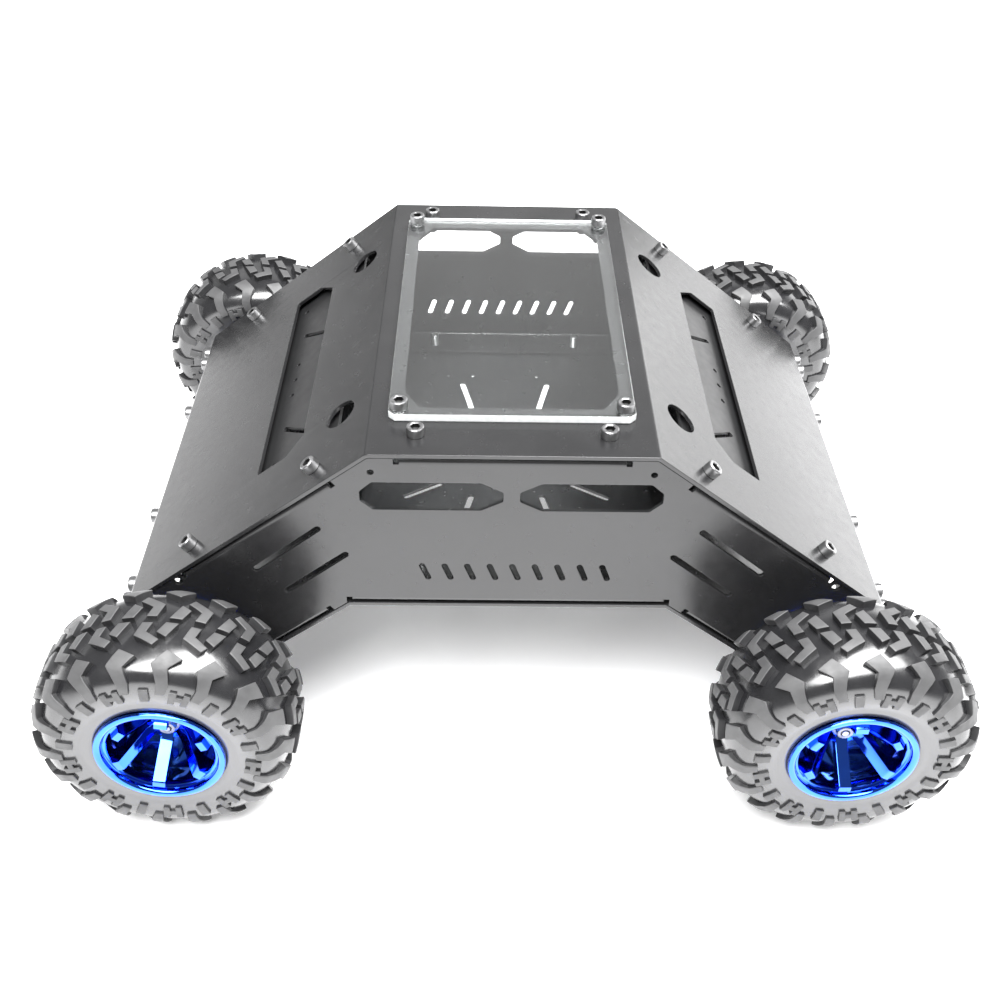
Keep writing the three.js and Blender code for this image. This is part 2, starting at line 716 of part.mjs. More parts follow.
function cornerDrive(label, signX, signY) {
  const group = new THREE.Group();
  group.position.set(signX * WHEEL_X, signY * WHEEL_MID_Y, TYRE_RADIUS);
  group.rotation.z = signY < 0 ? Math.PI : 0;
  const offsetX = -signX * signY * GEARBOX_OFFSET * Math.cos(HOOD_ANGLE);
  const offsetZ = GEARBOX_OFFSET * Math.sin(HOOD_ANGLE);
  const shaft = rod(SHAFT_RADIUS, BOSS_END_Y - SHAFT_IN_BOX - WHEEL_MID_Y, SHAFT_END);
  const can = mesh(`motor_can_${label}`, canGeometry(), looks.can);
  can.position.set(offsetX, 0, offsetZ);
  group.add(
    mesh(`tyre_${label}`, tyreGeometry(), looks.rubber),
    mesh(`rim_${label}`, rimGeometry(), looks.blueChrome),
    mesh(`wheel_hub_${label}`, hubGeometry(), looks.steel),
    mesh(`wheel_nut_${label}`, nutGeometry(), looks.zinc),
    mesh(`output_shaft_${label}`, shaft, looks.steel),
    mesh(`gearbox_${label}`, gearboxGeometry(offsetX, offsetZ), looks.steel),
    can,
  );
  return group;
}

// ---- The whole vehicle ----------------------------------------------------------------------

const chassis = new THREE.Group();
chassis.add(
  topCover(),
  windowPane(),
  bellyPlate(),
  hoodBrace("hood_brace_front", 0),
  hoodBrace("hood_brace_rear", Math.PI),
  sidePlate("side_plate_left", 0),
  sidePlate("side_plate_right", Math.PI),
  fasteners(),
  cornerDrive("front_left", 1, 1),
  cornerDrive("front_right", 1, -1),
  cornerDrive("rear_left", -1, 1),
  cornerDrive("rear_right", -1, -1),
);

export default chassis;
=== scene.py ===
import math

import bmesh
import bpy
from mathutils import Matrix, Vector


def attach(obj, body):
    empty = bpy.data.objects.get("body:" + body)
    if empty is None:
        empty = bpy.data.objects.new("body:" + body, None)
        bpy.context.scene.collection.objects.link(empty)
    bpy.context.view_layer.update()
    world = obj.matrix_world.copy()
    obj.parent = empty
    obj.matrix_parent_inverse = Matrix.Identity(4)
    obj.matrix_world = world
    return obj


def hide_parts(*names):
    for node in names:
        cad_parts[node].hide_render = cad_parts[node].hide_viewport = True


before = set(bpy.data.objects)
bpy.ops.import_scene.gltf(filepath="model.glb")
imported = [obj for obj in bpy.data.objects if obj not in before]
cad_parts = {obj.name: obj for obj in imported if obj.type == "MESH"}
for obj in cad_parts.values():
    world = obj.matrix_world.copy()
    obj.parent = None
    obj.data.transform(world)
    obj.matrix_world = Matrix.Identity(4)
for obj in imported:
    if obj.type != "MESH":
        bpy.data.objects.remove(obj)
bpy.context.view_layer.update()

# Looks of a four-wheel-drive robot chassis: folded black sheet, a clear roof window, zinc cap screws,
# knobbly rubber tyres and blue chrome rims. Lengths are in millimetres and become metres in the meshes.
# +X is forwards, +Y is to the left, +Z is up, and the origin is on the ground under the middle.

MM = 0.001
TAU = 2 * math.pi

# ---- Driving dimensions ----

SHEET = 2.0
GAP = 0.3
BEND_RADIUS = 2.4  # of the middle of a sheet, at every fold
SHEET_EDGE = 0.28  # softening of a cut edge
BEND_STEPS = 6

ROOF_HALF_LENGTH = 68.0
ROOF_Z = 196.4
HOOD_END_X = 194.3
HOOD_END_Z = 98.4
END_WALL_LOW_Z = 52.0
BELLY_HALF_LENGTH = 81.6
BELLY_Z = 100.6
FOOT_Z = 40.6
FOOT_CORNER = 9.0
BODY_HALF_WIDTH = 126.0
SIDE_OUTER_Y = 125.5
FLANGE_WIDTH = 24.0
HOOD_ANGLE = math.atan2(ROOF_Z - HOOD_END_Z, HOOD_END_X - ROOF_HALF_LENGTH)
FOOT_INNER_X = BELLY_HALF_LENGTH + (BELLY_Z - FOOT_Z) / math.tan(HOOD_ANGLE)
SIDE_END_X = HOOD_END_X - SHEET - GAP
FOOT_OUTER_X = SIDE_END_X - FOOT_CORNER

WHEEL_X = 168.4
WHEEL_MID_Y = 167.0
TYRE_RADIUS = 65.0
AXLE_HOLE_RADIUS = 6.6

WINDOW_HALF = (59.1, 100.1)
WINDOW_THICKNESS = 4.0
WINDOW_CORNER = 3.0
WINDOW_EDGE = 0.3
WINDOW_SCREW = (54.0, 94.6)
ROOF_OPENING = (52.3, 91.3, 8.0, 13.0)

HEAD_RADIUS = 4.25
HEAD_HEIGHT = 5.0
HEX_RADIUS = 2.45
HEX_DEPTH = 2.6
SHANK_RADIUS = 2.4
SCREW_HOLE_RADIUS = 2.75
SCREW_LINE_Y = 110.0
ROOF_SCREW_X = 45.6
HOOD_SCREWS = (34.5, 117.5)  # distances down the hood from the roof's edge
END_SCREW = (104.0, 91.0)
END_SCREW_EXTRA_Y = (49.0, 116.0)

HOOD_OPENING = {"top": 46.5, "bottom": 76.5, "half": 84.0, "cut": 11.0}
HOOD_HOLE = {"x": 21.2, "y": 77.0, "radius": 9.0}
SIDE_WINDOW = {"inner": 4.0, "outer": 72.0, "low": 163.0, "high": 179.6, "inner_cut": 10.5, "outer_cut": 6.0}
LEG_SLOTS = (((93.6, 150.0), (126.0, 123.2)), ((81.0, 133.5), (111.7, 108.7)))
LEG_SLOT_WIDTH = 3.4
VENT = {"count": 9, "pitch": 11.2, "middle": -2.8, "z": 122.6, "length": 11.5, "width": 3.0, "lean": 0.35}
ROOF_PIN = (66.2, 185.7, 1.6)
LEG_PIN = (165.8, 114.0, 2.2)
BELLY_SLOTS = (((20.0, 40.0), (26.8, 69.0)), ((38.0, 29.0), (56.5, 40.5)))
BELLY_SLOT_WIDTH = 3.4
BELLY_PIN = (20.4, 78.0, 1.6)
BRACE = {"from": 27.0, "to": 124.0, "half": 121.0, "corner": 4.0}
BRACE_PIN = (72.0, 75.5, 1.7)
BRACE_ROW = (69.0, (-15.0, 0.0, 15.0), 1.5)
BRACE_SLOTS = ((34.5, 45.5), (-61.0, -46.5))
BRACE_SLOT = (52.0, 68.4, 3.0)

SIGNS = ((1, 1), (-1, 1), (-1, -1), (1, -1))
CORNERS = {
    "front_left": (1, 1),
    "front_right": (1, -1),
    "rear_left": (-1, 1),
    "rear_right": (-1, -1),
}

# ---- Camera ----

CAMERA_PLACE = (-0.01542, -0.55643, 0.53320)
CAMERA_LENS = 42.85
CAMERA_AZIMUTH = math.radians(1.31)
CAMERA_DOWN = math.radians(40.14)
CAMERA_ROLL = math.radians(1.457)


def make_camera():
    data = bpy.data.cameras.new("camera")
    data.lens = CAMERA_LENS
    data.sensor_width = 36
    camera = bpy.data.objects.new("camera", data)
    bpy.context.scene.collection.objects.link(camera)
    level = math.cos(CAMERA_DOWN)
    heading = Vector((math.sin(CAMERA_AZIMUTH), math.cos(CAMERA_AZIMUTH), 0))
    forward = heading * level - Vector((0, 0, math.sin(CAMERA_DOWN)))
    right = forward.cross(Vector((0, 0, 1))).normalized()
    up = right.cross(forward)
    turn = Matrix.Rotation(-CAMERA_ROLL, 3, forward)
    axes = Matrix((turn @ right, turn @ up, -forward)).transposed()
    camera.matrix_world = Matrix.Translation(CAMERA_PLACE) @ axes.to_4x4()
    bpy.context.scene.camera = camera


# ---- Materials ----


class Look:
    """A material with a Principled shader and short ways to drive its sockets from noise."""

    def __init__(self, name, **sockets):
        self.material = bpy.data.materials.new(name)
        self.material.use_nodes = True
        self.nodes = self.material.node_tree.nodes
        self.links = self.material.node_tree.links
        self.shader = self.nodes["Principled BSDF"]
        self.place = self.nodes.new("ShaderNodeTexCoord").outputs["Object"]
        for socket, value in sockets.items():
            self.shader.inputs[socket.replace("_", " ")].default_value = value

    def noise(self, scale, detail=3.0, stretch=(1, 1, 1)):
        mapping = self.nodes.new("ShaderNodeMapping")
        mapping.inputs["Scale"].default_value = stretch
        texture = self.nodes.new("ShaderNodeTexNoise")
        texture.inputs["Scale"].default_value = scale
        texture.inputs["Detail"].default_value = detail
        self.links.new(self.place, mapping.inputs["Vector"])
        self.links.new(mapping.outputs["Vector"], texture.inputs["Vector"])
        return texture.outputs["Fac"]

    def spread(self, source, low, high, start=0.3, end=0.7):
        mapped = self.nodes.new("ShaderNodeMapRange")
        mapped.inputs["From Min"].default_value = start
        mapped.inputs["From Max"].default_value = end
        mapped.inputs["To Min"].default_value = low
        mapped.inputs["To Max"].default_value = high
        self.links.new(source, mapped.inputs["Value"])
        return mapped.outputs["Result"]

    def colours(self, source, dark, light, start=0.3, end=0.7):
        ramp = self.nodes.new("ShaderNodeValToRGB")
        ramp.color_ramp.elements[0].position = start
        ramp.color_ramp.elements[0].color = (*dark, 1)
        ramp.color_ramp.elements[1].position = end
        ramp.color_ramp.elements[1].color = (*light, 1)
        self.links.new(source, ramp.inputs["Fac"])
        self.links.new(ramp.outputs["Color"], self.shader.inputs["Base Color"])

    def roughness(self, source, low, high):
        self.links.new(self.spread(source, low, high), self.shader.inputs["Roughness"])

    def bump(self, source, strength, distance):
        node = self.nodes.new("ShaderNodeBump")
        node.inputs["Strength"].default_value = strength
        node.inputs["Distance"].default_value = distance
        self.links.new(source, node.inputs["Height"])
        self.links.new(node.outputs["Normal"], self.shader.inputs["Normal"])


def plain_look(name, tint, shades, sheen, roughness, grain, bump, **sockets):
    """A look whose colour, roughness and bumps each follow a noise of their own."""
    look = Look(name, **sockets)
    look.colours(look.noise(*tint), *shades)
    look.roughness(look.noise(*sheen), *roughness)
    look.bump(look.noise(*grain), *bump)
    return look.material


def carcass_look():
    """Shiny black rubber, darker on the crown and paler on the sidewall towards the rim: the crown's dark
    tone is painted shade between the lugs, the sidewall's pale tone is painted light from the bright floor.
    """
    look = Look("tyre_carcass", IOR=1.75)
    flat = look.nodes.new("ShaderNodeVectorMath")
    flat.operation = "MULTIPLY"
    flat.inputs[1].default_value = (1, 0, 1)
    look.links.new(look.place, flat.inputs[0])
    radius = look.nodes.new("ShaderNodeVectorMath")
    radius.operation = "LENGTH"
    look.links.new(flat.outputs["Vector"], radius.inputs[0])
    # Painted light and shade: the colour turns paler towards the rim and darker out on the crown.
    painted_sidewall_light = look.spread(radius.outputs["Value"], 1.0, 0.0, 0.041, 0.053)
    look.colours(painted_sidewall_light, (0.011, 0.011, 0.012), (0.055, 0.055, 0.057), 0.0, 1.0)
    look.roughness(look.noise(180, 4), 0.17, 0.27)
    look.bump(look.noise(900, 4), 0.08, 0.0002)
    return look.material


def chrome_look():
    look = Look("blue_chrome", Metallic=1.0, Coat_Weight=0.25, Coat_Roughness=0.04)
    look.colours(look.noise(40), (0.028, 0.13, 0.82), (0.042, 0.18, 0.92))
    look.roughness(look.noise(200), 0.05, 0.1)
    return look.material


def window_look():
    """Clear acrylic. Light from the lamps passes straight through it, so what is under it stays lit."""
    look = Look("clear_window", IOR=1.49, Transmission_Weight=1.0)
    look.shader.inputs["Base Color"].default_value = (0.97, 0.985, 0.98, 1)
    look.roughness(look.noise(60), 0.0, 0.02)
    path = look.nodes.new("ShaderNodeLightPath")
    through = look.nodes.new("ShaderNodeBsdfTransparent")
    through.inputs["Color"].default_value = (0.93, 0.95, 0.945, 1)
    mix = look.nodes.new("ShaderNodeMixShader")
    look.links.new(path.outputs["Is Shadow Ray"], mix.inputs["Fac"])
    look.links.new(look.shader.outputs["BSDF"], mix.inputs[1])
    look.links.new(through.outputs["BSDF"], mix.inputs[2])
    look.links.new(mix.outputs["Shader"], look.nodes["Material Output"].inputs["Surface"])
    return look.material


def window_edge_look():
    """The sawn edge of the acrylic, painted near-white: partly its own frosting, partly painted light for the
    glow along the edge.
    """
    look = Look("window_edge", IOR=1.49, Transmission_Weight=0.25)
    look.colours(look.noise(400), (0.78, 0.8, 0.8), (0.92, 0.93, 0.93))
    look.roughness(look.noise(600), 0.3, 0.5)
    return look.material


# The hex socket's walls and floor: nearly black, painted shade in the recess of the zinc head.
def socket_look():
    look = Look("socket_painted_shade", Metallic=0.6)
    look.colours(look.noise(300), (0.012, 0.012, 0.012), (0.022, 0.022, 0.022))
    look.roughness(look.noise(400), 0.45, 0.6)
    return look.material


def floor_look():
    look = Look("floor", IOR=1.45, Emission_Color=(1, 1, 1, 1), Emission_Strength=0.25)
    look.colours(look.noise(3), (0.86, 0.86, 0.865), (0.88, 0.88, 0.885))
    look.roughness(look.noise(6), 0.5, 0.55)
    return look.material


BLACK_PAINT = ((0.0105, 0.0105, 0.011), (0.0145, 0.0145, 0.015))

LOOKS = {
    "black_sheet": plain_look(
        "black_sheet", (30,), BLACK_PAINT, (160, 4), (0.21, 0.28), (2600, 2), (0.05, 0.0001),
        IOR=1.54, Metallic=0.0,
    ),
    # the braces under the hoods, duller than the outer skin
    "black_sheet_dull": plain_look(
        "black_sheet_dull", (30,), BLACK_PAINT, (160, 4), (0.36, 0.44), (2600, 2), (0.05, 0.0001),
        IOR=1.45,
    ),
    "screw_steel": plain_look(
        "screw_steel", (220,), ((0.19, 0.19, 0.193), (0.3, 0.3, 0.303)),
        (500, 4), (0.26, 0.42), (1800,), (0.08, 0.0001),
        Metallic=0.9,
    ),
    "gearbox_steel": plain_look(
        "gearbox_steel", (90,), ((0.28, 0.285, 0.3), (0.42, 0.425, 0.44)),
        (300, 4, (1, 6, 1)), (0.22, 0.4), (700, 3, (1, 12, 1)), (0.06, 0.0001),
        Metallic=0.95,
    ),
    "motor_can": plain_look(
        "motor_can", (60,), ((0.42, 0.43, 0.44), (0.55, 0.56, 0.57)),
        (260, 4), (0.28, 0.42), (1500,), (0.05, 0.0001),
        Metallic=0.9,
    ),
    "tyre_carcass": carcass_look(),
    # The lugs are one rubber in two tones: their tops painted lighter as painted light from above, their
    # sides painted darker as painted shade.
    "tyre_lug_tops_painted_light": plain_look(
        "tyre_lug_tops_painted_light", (110, 4), ((0.04, 0.04, 0.041), (0.062, 0.062, 0.063)),
        (240, 4), (0.42, 0.58), (1100, 4), (0.2, 0.0002),
        IOR=1.5,
    ),
    "tyre_lug_sides_painted_shade": plain_look(
        "tyre_lug_sides_painted_shade", (140, 4), ((0.014, 0.014, 0.015), (0.023, 0.023, 0.024)),
        (240, 4), (0.3, 0.42), (1100, 4), (0.15, 0.0002),
        IOR=1.55,
    ),
    "blue_chrome": chrome_look(),
    "clear_window": window_look(),
    "window_edge": window_edge_look(),
    "socket_painted_shade": socket_look(),
}

# ---- Mesh helpers ----


def mesh_of(bm, name, smooth_below=40):
    """A mesh in metres from a bmesh in millimetres, smooth across edges flatter than an angle."""
    bmesh.ops.scale(bm, vec=(MM, MM, MM), verts=bm.verts)
    mesh = bpy.data.meshes.new(name)
    bm.to_mesh(mesh)
    bm.free()
    for polygon in mesh.polygons:
        polygon.use_smooth = True
    mesh.set_sharp_from_angle(angle=math.radians(smooth_below))
    return mesh


def piece(name, mesh, look, body, slot, place=None, replaces=()):
    """A visible piece that rides on a body and may stand for CAD nodes."""
    made = bpy.data.objects.new(name, mesh)
    bpy.context.scene.collection.objects.link(made)
    if not mesh.materials:
        mesh.materials.append(LOOKS[look])
    if place is not None:
        made.matrix_world = place
    normals = made.modifiers.new("even_normals", "WEIGHTED_NORMAL")
    normals.keep_sharp = True
    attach(made, body)
    if replaces:
        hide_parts(*replaces)
    return made


def merged(parts):
    """One bmesh with everything in several."""
    whole = bmesh.new()
    for part in parts:
        mesh = bpy.data.meshes.new("part")
        part.to_mesh(mesh)
        part.free()
        whole.from_mesh(mesh)
        bpy.data.meshes.remove(mesh)
    return whole


def flat_plate(outline, holes, thickness, edge):
    """A flat plate about z = 0 with softened edges, from its outline and its holes."""
    curve = bpy.data.curves.new("plate", "CURVE")
    curve.dimensions = "2D"
    curve.fill_mode = "BOTH"
    curve.extrude = thickness / 2 - edge
    curve.bevel_depth = edge
    curve.bevel_resolution = 1
    curve.offset = -edge
    for ring in [outline, *holes]:
        spline = curve.splines.new("POLY")
        spline.points.add(len(ring) - 1)
        for point, (x, y) in zip(spline.points, ring):
            point.co = (x, y, 0, 1)
        spline.use_cyclic_u = True
    holder = bpy.data.objects.new("plate", curve)
    bpy.context.scene.collection.objects.link(holder)
    view = bpy.context.evaluated_depsgraph_get()
    mesh = bpy.data.meshes.new_from_object(holder.evaluated_get(view))
    bm = bmesh.new()
    bm.from_mesh(mesh)
    bmesh.ops.remove_doubles(bm, verts=bm.verts, dist=1e-3)
    bmesh.ops.recalc_face_normals(bm, faces=bm.faces)
    bpy.data.meshes.remove(mesh)
    bpy.data.objects.remove(holder)
    bpy.data.curves.remove(curve)
    return bm


def cut_lines(bm, lines):
    """Adds edges where a plate crosses lines, each given by a point and a direction square to it."""
    for (x, y), (nx, ny) in lines:
        everything = bm.verts[:] + bm.edges[:] + bm.faces[:]
        bmesh.ops.bisect_plane(bm, geom=everything, plane_co=(x, y, 0), plane_no=(nx, ny, 0), dist=1e-4)


def reshape(bm, place):
    for vertex in bm.verts:
        vertex.co = place(*vertex.co)


def turned_geometry(bm, matrix):
    bmesh.ops.transform(bm, matrix=matrix, verts=bm.verts)
    if matrix.determinant() < 0:
        bmesh.ops.reverse_faces(bm, faces=bm.faces)
    return bm


def loft(rings, closed=False):
    """A skin over rings of points. It ends in two flat caps, or joins up with its first ring."""
    bm = bmesh.new()
    rows = [[bm.verts.new(point) for point in ring] for ring in rings]
    count = len(rows[0])
    pairs = list(zip(rows, rows[1:]))
    if closed:
        pairs.append((rows[-1], rows[0]))
    for low, high in pairs:
        for i in range(count):
            j = (i + 1) % count
            bm.faces.new((low[i], low[j], high[j], high[i]))
    if not closed:
        bm.faces.new(rows[0][::-1])
        bm.faces.new(rows[-1])
    bmesh.ops.recalc_face_normals(bm, faces=bm.faces)
    return bm


def circle(radius, height, count):
    """A ring of points about Z. The radius is a number or a function of the angle."""
    ring = []
    for i in range(count):
        angle = TAU * i / count
        r = radius(angle) if callable(radius) else radius
        ring.append((r * math.cos(angle), r * math.sin(angle), height))
    return ring


def lathe(profile, count=48, closed=False):
    """Turns a profile of (radius, height) about Z. A radius is a number or a function of the angle."""
    return loft([circle(radius, height, count) for radius, height in profile], closed)


def along_y(bm):
    """Lays geometry that stands along Z down along Y, the axle."""
    return turned_geometry(bm, Matrix.Rotation(-math.pi / 2, 4, "X"))


def hexagon(radius):
    """The radius of a hexagon at an angle, for its corner radius."""
    step = TAU / 6

    def at(angle):
        return radius * math.cos(step / 2) / math.cos(angle % step - step / 2)

    return at


def arc(centre, radius, start, end, steps):
    points = []
    for i in range(steps + 1):
        angle = start + (end - start) * i / steps
        points.append((centre[0] + radius * math.cos(angle), centre[1] + radius * math.sin(angle)))
    return points


def round_hole(x, y, radius, steps=24):
    return arc((x, y), radius, 0, TAU * (steps - 1) / steps, steps - 1)


def slot_hole(start, end, width):
    angle = math.atan2(end[1] - start[1], end[0] - start[0])
    quarter = TAU / 4
    first = arc(start, width / 2, angle + quarter, angle + 3 * quarter, 7)
    second = arc(end, width / 2, angle - quarter, angle + quarter, 7)
    return first + second


def rounded(corners, radius, steps=4):
    """A closed outline with its corners rounded."""
    points = []
    count = len(corners)
    for i, corner in enumerate(corners):
        here = Vector(corner)
        before = (Vector(corners[i - 1]) - here).normalized()
        after = (Vector(corners[(i + 1) % count]) - here).normalized()
        half = before.angle(after) / 2
        centre = here + (before + after).normalized() * (radius / math.sin(half))
        start = here + before * (radius / math.tan(half)) - centre
        end = here + after * (radius / math.tan(half)) - centre
        swing = start.angle_signed(end)
        for k in range(steps + 1):
            turn = Matrix.Rotation(-swing * k / steps, 2)
            points.append(tuple(centre + turn @ start))
    return points


def cut_rectangle(centre_x, half_x, half_y, cut_x, cut_y):
    corners = []
    for sx, sy in ((1, -1), (1, 1), (-1, 1), (-1, -1)):
        first = (centre_x + sx * half_x, sy * (half_y - cut_y))
        second = (centre_x + sx * (half_x - cut_x), sy * half_y)
        corners += [second, first] if sx * sy < 0 else [first, second]
    return corners


# ---- Sheets folded across their whole width ----


def shifted(points, distance):
    """A polyline moved to the left of its direction, with mitred corners."""
    moved = []
    vectors = [Vector(point) for point in points]
    for i, here in enumerate(vectors):
        into = (here - vectors[i - 1] if i else vectors[1] - here).normalized()
        out = (vectors[i + 1] - here if i + 1 < len(vectors) else into).normalized()
        left_in = Vector((-into.y, into.x))
        left_out = Vector((-out.y, out.x))
        middle = (left_in + left_out).normalized()
        moved.append(here + middle * (distance / middle.dot(left_in)))
    return moved


class FoldedLine:
    """Half of a folded sheet seen from its side, from its middle outwards, with round bends."""

    def __init__(self, corners, radius):
        self.runs = []
        self.length = 0.0
        headings = [math.atan2(b.y - a.y, b.x - a.x) for a, b in zip(corners, corners[1:])]
        skipped = 0.0
        for i, heading in enumerate(headings):
            along = Vector((math.cos(heading), math.sin(heading)))
            turn = headings[i + 1] - heading if i + 1 < len(headings) else 0.0
            tangent = radius * abs(math.tan(turn / 2))
            start = corners[i] + along * skipped
            straight = (corners[i + 1] - corners[i]).length - skipped - tangent
            self.add(straight, start, heading, 0.0)
            if turn:
                self.add(radius * abs(turn), start + along * straight, heading, math.copysign(radius, turn))
            skipped = tangent

    def add(self, length, start, heading, radius):
        self.runs.append((self.length, length, start, heading, radius))
        self.length += length

    def along(self, straight, point):
        """How far out a point beside one of the straight runs lies."""
        begin, _, start, heading, _ = self.runs[2 * straight]
        return begin + (Vector(point) - start).dot(Vector((math.cos(heading), math.sin(heading))))

    def place(self, s, y, h):
        side = -1 if s < 0 else 1
        s = abs(s)
        begin, _, start, heading, radius = [run for run in self.runs if run[0] <= s][-1]
        if radius:
            angle = heading + (s - begin) / radius
            centre = start + radius * Vector((-math.sin(heading), math.cos(heading)))
            spot = centre + (h - radius) * Vector((-math.sin(angle), math.cos(angle)))
        else:
            along = Vector((math.cos(heading), math.sin(heading)))
            spot = start + (s - begin) * along + h * Vector((-along.y, along.x))
        return Vector((side * spot.x, y, spot.y))

    def bend_lines(self):
        lines = [((0, 0), (1, 0))]
        for begin, length, _, _, radius in self.runs:
            if radius:
                for i in range(BEND_STEPS + 1):
                    s = begin + length * i / BEND_STEPS
                    lines += [((s, 0), (1, 0)), ((-s, 0), (1, 0))]
        return lines


def down_hood(distance):
    return (
        ROOF_HALF_LENGTH + distance * math.cos(HOOD_ANGLE),
        ROOF_Z - distance * math.sin(HOOD_ANGLE),
    )


COVER_LINE = [(0, ROOF_Z), (ROOF_HALF_LENGTH, ROOF_Z), (HOOD_END_X, HOOD_END_Z), (HOOD_END_X, END_WALL_LOW_Z)]
BELLY_LINE = [(0, BELLY_Z), (BELLY_HALF_LENGTH, BELLY_Z), (FOOT_INNER_X, FOOT_Z), (FOOT_OUTER_X, FOOT_Z)]


def hood_opening_corners(hood):
    top = hood(HOOD_OPENING["top"])
    middle = hood(HOOD_OPENING["top"] + HOOD_OPENING["cut"])
    bottom = hood(HOOD_OPENING["bottom"])
    half = HOOD_OPENING["half"]
    inner = half - HOOD_OPENING["cut"]
    return [(top, -inner), (middle, -half), (bottom, -half), (bottom, half), (middle, half), (top, inner)]


def make_cover():
    line = FoldedLine(shifted(COVER_LINE, -SHEET / 2), BEND_RADIUS)
    outline = rounded(cut_rectangle(0, line.length, BODY_HALF_WIDTH, 1.5, 1.5), 0.5, 2)
    holes = [rounded(cut_rectangle(0, *ROOF_OPENING), 0.6, 3)]

    def hood(distance):
        return line.along(1, down_hood(distance))

    wall_hole = line.along(2, (HOOD_END_X, END_SCREW[1]))
    for end in (1, -1):
        opening = [(end * s, y) for s, y in hood_opening_corners(hood)]
        holes.append(rounded(opening, 0.8, 3))
        for side in (1, -1):
            hole_x = end * hood(HOOD_HOLE["x"])
            holes.append(round_hole(hole_x, side * HOOD_HOLE["y"], HOOD_HOLE["radius"], 40))
            holes.append(round_hole(end * ROOF_SCREW_X, side * SCREW_LINE_Y, SCREW_HOLE_RADIUS))
            holes.append(round_hole(end * WINDOW_SCREW[0], side * WINDOW_SCREW[1], SCREW_HOLE_RADIUS))
            for x in HOOD_SCREWS:
                holes.append(round_hole(end * hood(x), side * SCREW_LINE_Y, SCREW_HOLE_RADIUS))
            for y in (END_SCREW[0], *END_SCREW_EXTRA_Y):
                holes.append(round_hole(end * wall_hole, side * y, SCREW_HOLE_RADIUS))
    bm = flat_plate(outline, holes, SHEET, SHEET_EDGE)
    cut_lines(bm, line.bend_lines())
    reshape(bm, line.place)
    piece("top_cover_sheet", mesh_of(bm, "top_cover_sheet"), "black_sheet", "chassis", "black_sheet",
          replaces=("top_cover",))


def make_belly():
    line = FoldedLine(shifted(BELLY_LINE, -GAP - SHEET / 2), BEND_RADIUS)
    outline = cut_rectangle(0, line.length, SIDE_OUTER_Y, 1.5, 1.5)
    holes = []
    for sx, sy in SIGNS:
        for ends in BELLY_SLOTS:
            start, end = [(sx * x, sy * y) for x, y in ends]
            holes.append(slot_hole(start, end, BELLY_SLOT_WIDTH))
        holes.append(round_hole(sx * BELLY_PIN[0], sy * BELLY_PIN[1], BELLY_PIN[2], 12))
        holes.append(round_hole(sx * ROOF_SCREW_X, sy * SCREW_LINE_Y, SCREW_HOLE_RADIUS))
    bm = flat_plate(outline, holes, SHEET, SHEET_EDGE)
    cut_lines(bm, line.bend_lines())
    reshape(bm, line.place)
    piece("belly_sheet", mesh_of(bm, "belly_sheet"), "black_sheet", "chassis", "black_sheet",
          replaces=("belly_plate",))


def hood_matrix(end):
    """Turns the hood's own plane, x down the slope and z out of it, to the front or the rear hood."""
    tilt = Matrix.Translation((ROOF_HALF_LENGTH, 0, ROOF_Z)) @ Matrix.Rotation(HOOD_ANGLE, 4, "Y")
    return tilt if end > 0 else Matrix.Rotation(math.pi, 4, "Z") @ tilt


def make_brace(name, end):
    middle = (BRACE["from"] + BRACE["to"]) / 2
    half = (BRACE["to"] - BRACE["from"]) / 2
    outline = cut_rectangle(middle, half, BRACE["half"], BRACE["corner"], BRACE["corner"])
    holes = []
    for side in (1, -1):
        holes.append(round_hole(BRACE_PIN[0], side * BRACE_PIN[1], BRACE_PIN[2], 12))
        for x in HOOD_SCREWS:
            holes.append(round_hole(x, side * SCREW_LINE_Y, SCREW_HOLE_RADIUS))
    for y in BRACE_ROW[1]:
        holes.append(round_hole(BRACE_ROW[0], y, BRACE_ROW[2], 12))
    top, bottom, width = BRACE_SLOT
    for high, low in BRACE_SLOTS:
        holes.append(slot_hole((top, end * high), (bottom, end * low), width))
    bm = flat_plate(outline, holes, SHEET, SHEET_EDGE)
    depth = 2 * (SHEET + GAP) + SHEET / 2
    bmesh.ops.translate(bm, vec=(0, 0, -depth), verts=bm.verts)
    turned_geometry(bm, hood_matrix(end))
    mesh = mesh_of(bm, name)
    piece(name + "_sheet", mesh, "black_sheet_dull", "chassis", "black_sheet", replaces=(name,))


# ---- Side plates: a flat web with folded-in flanges ----

NOTCH_WIDTH = 2.6
NOTCH_DEPTH = 3.6
FLANGE_CORNER = 3.0
HOOD_FLANGE = (25.5, 121.0)  # distances down the hood
ROOF_FLANGE_HALF = 52.8
WING_FLANGE = (12.0, 88.0)  # distances down the leg's inner edge
END_FLANGE = (56.0, 94.0)  # heights
BELLY_FLANGE_INSET = 2.0
QUARTER_BEND = BEND_RADIUS * TAU / 4
FLANGE_REACH = -SHEET / 2 - BEND_RADIUS + QUARTER_BEND + FLANGE_WIDTH - SHEET / 2 - BEND_RADIUS


